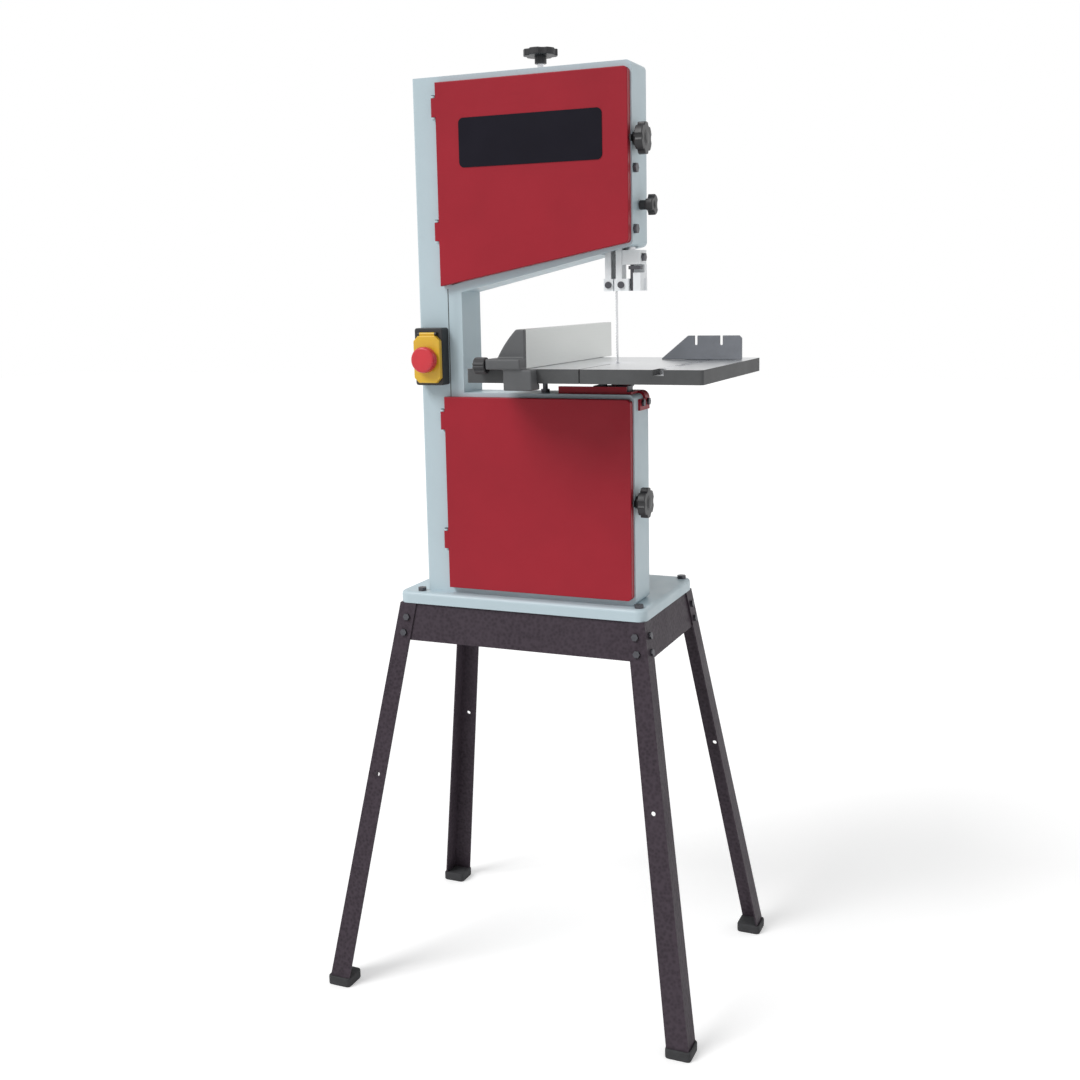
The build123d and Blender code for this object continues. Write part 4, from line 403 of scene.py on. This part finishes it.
def toothed_band():
    """Saw band round both wheels: raked teeth along its front edge, set left and right in turn."""
    low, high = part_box("blade")
    radius = (high.x - low.x) / 2
    centre_x = (low.x + high.x) / 2
    top_z = high.z - radius
    bottom_z = low.z + radius
    straight = top_z - bottom_z
    length = 2 * straight + 2 * math.pi * radius
    pitch = length / TEETH

    def place(along, inset, y):
        """Point on the band at a distance along it, going down on the cutting side."""
        along %= length
        r = radius - inset
        if along < straight:
            return Vector((centre_x + r, y, top_z - along))
        along -= straight
        if along < math.pi * radius:
            angle = along / radius
            return Vector((centre_x + r * math.cos(angle), y, bottom_z - r * math.sin(angle)))
        along -= math.pi * radius
        if along < straight:
            return Vector((centre_x - r, y, bottom_z + along))
        angle = (along - straight) / radius
        return Vector((centre_x - r * math.cos(angle), y, top_z + r * math.sin(angle)))

    mesh = bmesh.new()
    columns = []
    for tooth in range(TEETH):
        for pitch_share, depth_share in TOOTH_PROFILE:
            here = (tooth + pitch_share) * pitch
            front = low.y + TOOTH_DEPTH * depth_share
            bend = 0.0
            if depth_share == 0.0:
                bend = TOOTH_SET if tooth % 2 else -TOOTH_SET
            outer_front = mesh.verts.new(place(here, EDGE_BEVEL - bend, front))
            inner_front = mesh.verts.new(place(here, BAND_THICK - EDGE_BEVEL - bend, front))
            outer_back = mesh.verts.new(place(here, 0.0, high.y))
            inner_back = mesh.verts.new(place(here, BAND_THICK, high.y))
            columns.append((outer_front, inner_front, inner_back, outer_back))
    for first, second in zip(columns, columns[1:] + columns[:1]):
        for index in range(4):
            after = (index + 1) % 4
            mesh.faces.new((first[index], first[after], second[after], second[index]))
    add_piece("toothed_band", mesh, "frame", "blade_steel", ["blade"], smooth=25.0)


toothed_band()


# ---------- Castings and mouldings with rounded edges ----------
def cast_form(node, body, voxel, rounds, keep):
    """Puts a copy of a node in its place, with its edges rounded as a mould leaves them."""
    source = nodes[node]
    rough = bpy.data.objects.new(node + "_rough", source.data.copy())
    rough.matrix_world = source.matrix_world
    scene.collection.objects.link(rough)
    remesh = rough.modifiers.new("remesh", "REMESH")
    remesh.mode = "VOXEL"
    remesh.voxel_size = voxel
    smooth = rough.modifiers.new("smooth", "SMOOTH")
    smooth.factor = 0.5
    smooth.iterations = rounds
    thin = rough.modifiers.new("thin", "DECIMATE")
    thin.ratio = keep
    done = rough.evaluated_get(bpy.context.evaluated_depsgraph_get())
    mesh = bmesh.new()
    mesh.from_mesh(done.to_mesh())
    mesh.transform(source.matrix_world)
    bpy.data.objects.remove(rough)
    add_piece(node + "_cast", mesh, body, slot_of[node], [node], smooth=60.0, material=finish_of(node))


cast_form("rubber_feet", "frame", voxel=0.9 * MM, rounds=34, keep=0.35)
cast_form("fence_carriage", "fence", voxel=0.8 * MM, rounds=30, keep=0.35)
cast_form("mitre_head", "mitre_head", voxel=0.7 * MM, rounds=2, keep=0.3)


# ---------- Column gap shadow (painted shade) ---
def column_gap_shadow():
    """Painted shade: a thin dark strip that stands in for the shadow in the gap where the blade channel
    meets the column's right edge.
    """
    column_low, column_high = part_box("column")
    half_width = 0.7 * MM
    proud = 0.24 * MM
    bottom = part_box("lower_door")[1].z + 1 * MM
    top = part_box("upper_door")[0].z - 4 * MM
    mesh = bmesh.new()
    bmesh.ops.create_cube(mesh, size=2.0)
    for vertex in mesh.verts:
        side, depth, height = vertex.co
        vertex.co.x = column_high.x + side * half_width
        vertex.co.y = column_low.y - proud if depth < 0 else column_low.y
        vertex.co.z = bottom if height < 0 else top
    # The black rubber finish here only paints the gap's shadow onto the flush joint.
    add_piece("column_gap_shadow", mesh, "frame", "rubber")


column_gap_shadow()


# ---------- Knob caps ----------
CAP_PROFILE = (     # share of the cap's radius, height in millimetres
    (1.25, 0.02), (1.25, 0.35), (1.1, 0.6), (1.0, 0.45), (0.95, 0.9), (0.75, 1.4), (0.4, 1.75), (0, 1.85),
)
KNOB_CAPS = (       # cap, the knob's node, its outward axis, body, radius in millimetres
    ("upper_latch_cap", "upper_latch", (1, 0, 0), "upper_latch", 9.0),
    ("lower_latch_cap", "lower_latch", (1, 0, 0), "lower_latch", 9.0),
    ("post_lock_cap", "post_lock_knob", (1, 0, 0), "post_lock", 5.0),
    ("tilt_lock_cap", "tilt_lock_knob", (0, 1, 0), "tilt_lock", 5.0),
    ("tracking_cap", "tracking_knob", (0, 1, 0), "tracking_screw", 6.0),
    ("mitre_cap", "mitre_knob", (0, 0, 1), "mitre_lock", 5.5),
    ("fence_cap", "fence_knob", (-1, 0, 0), "fence_lock", 5.0),
)


def knob_cap(name, node, axis, body, radius):
    """Domed cap pressed into the middle of a moulded knob."""
    low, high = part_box(node)
    centre = (low + high) / 2
    for index, direction in enumerate(axis):
        if direction:
            centre[index] = high[index] if direction > 0 else low[index]
    mesh = bmesh.new()
    profile = [(radius * MM * share, height * MM) for share, height in CAP_PROFILE]
    lathe(mesh, centre, axis, profile, steps=36)
    add_piece(name, mesh, body, "black_plastic")


for cap in KNOB_CAPS:
    knob_cap(*cap)


# ---------- Motor grille ----------
def motor_grille():
    """Fan cover rings and bars on the motor's far end."""
    ring_count = 5
    ring_pitch = 8 * MM
    first_radius = 12 * MM
    half_width = 1.3 * MM
    shoulder = 0.8 * half_width
    bar_count = 6
    bar_reach = (8 * MM, 47 * MM)
    bar_half_width = 1.4 * MM
    bar_height = 2.1 * MM
    motor_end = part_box("motor")[1].y
    pulley_low, pulley_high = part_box("motor_pulley")
    centre = (pulley_low + pulley_high) / 2
    centre.y = motor_end
    mesh = bmesh.new()
    for ring in range(ring_count):
        r = first_radius + ring * ring_pitch
        lathe(mesh, centre, (0, 1, 0), [
            (r - half_width, 0.0),
            (r - shoulder, 1.6 * MM),
            (r, 2.0 * MM),
            (r + shoulder, 1.6 * MM),
            (r + half_width, 0.0),
        ], steps=64)
    for bar in range(bar_count):
        angle = 2 * math.pi * bar / bar_count
        spoke = Vector((math.cos(angle), 0, math.sin(angle)))
        across = Vector((-math.sin(angle), 0, math.cos(angle))) * bar_half_width
        corners = []
        for distance in bar_reach:
            for side in (-1, 1):
                for height in (0.0, bar_height):
                    point = centre + spoke * distance + across * side + Vector((0, height, 0))
                    corners.append(mesh.verts.new(point))
        for quad in ((1, 3, 7, 5), (0, 1, 5, 4), (3, 2, 6, 7), (0, 2, 3, 1), (4, 5, 7, 6)):
            mesh.faces.new([corners[index] for index in quad])
    add_piece("motor_grille", mesh, "frame", "motor_paint")


motor_grille()


# ---------- Degree marks ----------
def degree_marks():
    """Raised degree marks round the mitre gauge's quadrant, every third one longer."""
    outer_radius = 38 * MM
    long_mark = 8 * MM
    short_mark = 5 * MM
    half_width = 0.35 * MM
    raised = 0.25 * MM
    mark_step = 7.5
    steps_each_way = 9
    quadrant_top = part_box("table")[1].z + 6.3 * MM
    low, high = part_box("mitre_knob")
    pivot = (low + high) / 2
    mesh = bmesh.new()
    for step in range(-steps_each_way, steps_each_way + 1):
        angle = math.radians(90 + step * mark_step)
        spoke = Vector((math.cos(angle), math.sin(angle), 0))
        across = Vector((-spoke.y, spoke.x, 0)) * half_width
        length = long_mark if step % 3 == 0 else short_mark
        start = pivot + spoke * (outer_radius - length)
        finish = pivot + spoke * outer_radius
        base = [start - across, finish - across, finish + across, start + across]
        lower = [mesh.verts.new((p.x, p.y, quadrant_top)) for p in base]
        upper = [mesh.verts.new((p.x, p.y, quadrant_top + raised)) for p in base]
        mesh.faces.new(upper)
        for index in range(4):
            after = (index + 1) % 4
            mesh.faces.new((lower[index], lower[after], upper[after], upper[index]))
    add_piece("degree_marks", mesh, "mitre_head", "white_paint")


degree_marks()


# ---------- Floor, backdrop and light ----------
FLOOR_HALF = 14.0
FLOOR_TONE = 0.86
FLOOR_GLOW = 0.34       # added for the camera and for reflections only, so the plain floor shows white
AMBIENT = 0.50
SUN_ENERGY = 1.75
SUN_ANGLE = math.radians(28)
SUN_DIRECTION = (0.42, 0.62, -0.72)
EDGE_PLACE = (2.4, 2.6, 2.4)
EDGE_TARGET = (0, 0, 1.0)
EDGE_SIZE = 1.8
EDGE_POWER = 8.0


def seen_directly(tree):
    """1 for what the camera, a reflection or a clear piece shows, 0 for light that falls on things."""
    rays = tree.nodes.new("ShaderNodeLightPath")
    seen = calculate(tree, "MAXIMUM", rays.outputs["Is Camera Ray"], rays.outputs["Is Glossy Ray"])
    return calculate(tree, "MAXIMUM", seen, rays.outputs["Is Transmission Ray"])


def stage_material():
    """Pale floor that keeps the object's shadow and shows white where nothing shades it."""
    material = bpy.data.materials.new("stage_white")
    material.use_nodes = True
    tree = material.node_tree
    tree.nodes.clear()
    output = tree.nodes.new("ShaderNodeOutputMaterial")
    diffuse = tree.nodes.new("ShaderNodeBsdfDiffuse")
    diffuse.inputs["Color"].default_value = (FLOOR_TONE, FLOOR_TONE, FLOOR_TONE, 1)
    glow = tree.nodes.new("ShaderNodeEmission")
    level = calculate(tree, "MULTIPLY", seen_directly(tree), FLOOR_GLOW)
    tree.links.new(level, glow.inputs["Strength"])
    both = tree.nodes.new("ShaderNodeAddShader")
    tree.links.new(diffuse.outputs[0], both.inputs[0])
    tree.links.new(glow.outputs[0], both.inputs[1])
    tree.links.new(both.outputs[0], output.inputs["Surface"])
    return material


def make_floor():
    """A plain square floor under the feet."""
    data = bpy.data.meshes.new("floor")
    corners = [(x * FLOOR_HALF, y * FLOOR_HALF, 0) for x, y in ((-1, -1), (1, -1), (1, 1), (-1, 1))]
    data.from_pydata(corners, [], [(0, 1, 2, 3)])
    data.materials.append(stage_material())
    floor = bpy.data.objects.new("floor", data)
    scene.collection.objects.link(floor)


def make_world():
    """Even white surroundings: full white where seen, half as strong as light."""
    world = bpy.data.worlds.new("studio")
    scene.world = world
    world.use_nodes = True
    tree = world.node_tree
    background = tree.nodes["Background"]
    background.inputs["Color"].default_value = (1, 1, 1, 1)
    strength = spread(tree, seen_directly(tree), AMBIENT, 1.0, from_low=0.0, from_high=1.0)
    tree.links.new(strength, background.inputs["Strength"])


def add_lamp(data, direction, place=(0, 0, 0)):
    """Puts a lamp in the scene, shining in a direction."""
    lamp = bpy.data.objects.new(data.name, data)
    scene.collection.objects.link(lamp)
    lamp.location = place
    lamp.rotation_euler = Vector(direction).to_track_quat("-Z", "Y").to_euler()


def make_lights():
    """A soft sun from the front left and a weak panel behind on the right."""
    sun = bpy.data.lights.new("key", "SUN")
    sun.energy = SUN_ENERGY
    sun.angle = SUN_ANGLE
    add_lamp(sun, SUN_DIRECTION)
    panel = bpy.data.lights.new("edge", "AREA")
    panel.shape = "SQUARE"
    panel.size = EDGE_SIZE
    panel.energy = EDGE_POWER
    add_lamp(panel, Vector(EDGE_TARGET) - Vector(EDGE_PLACE), EDGE_PLACE)


make_floor()
make_world()
make_lights()
scene.view_settings.view_transform = "Standard"
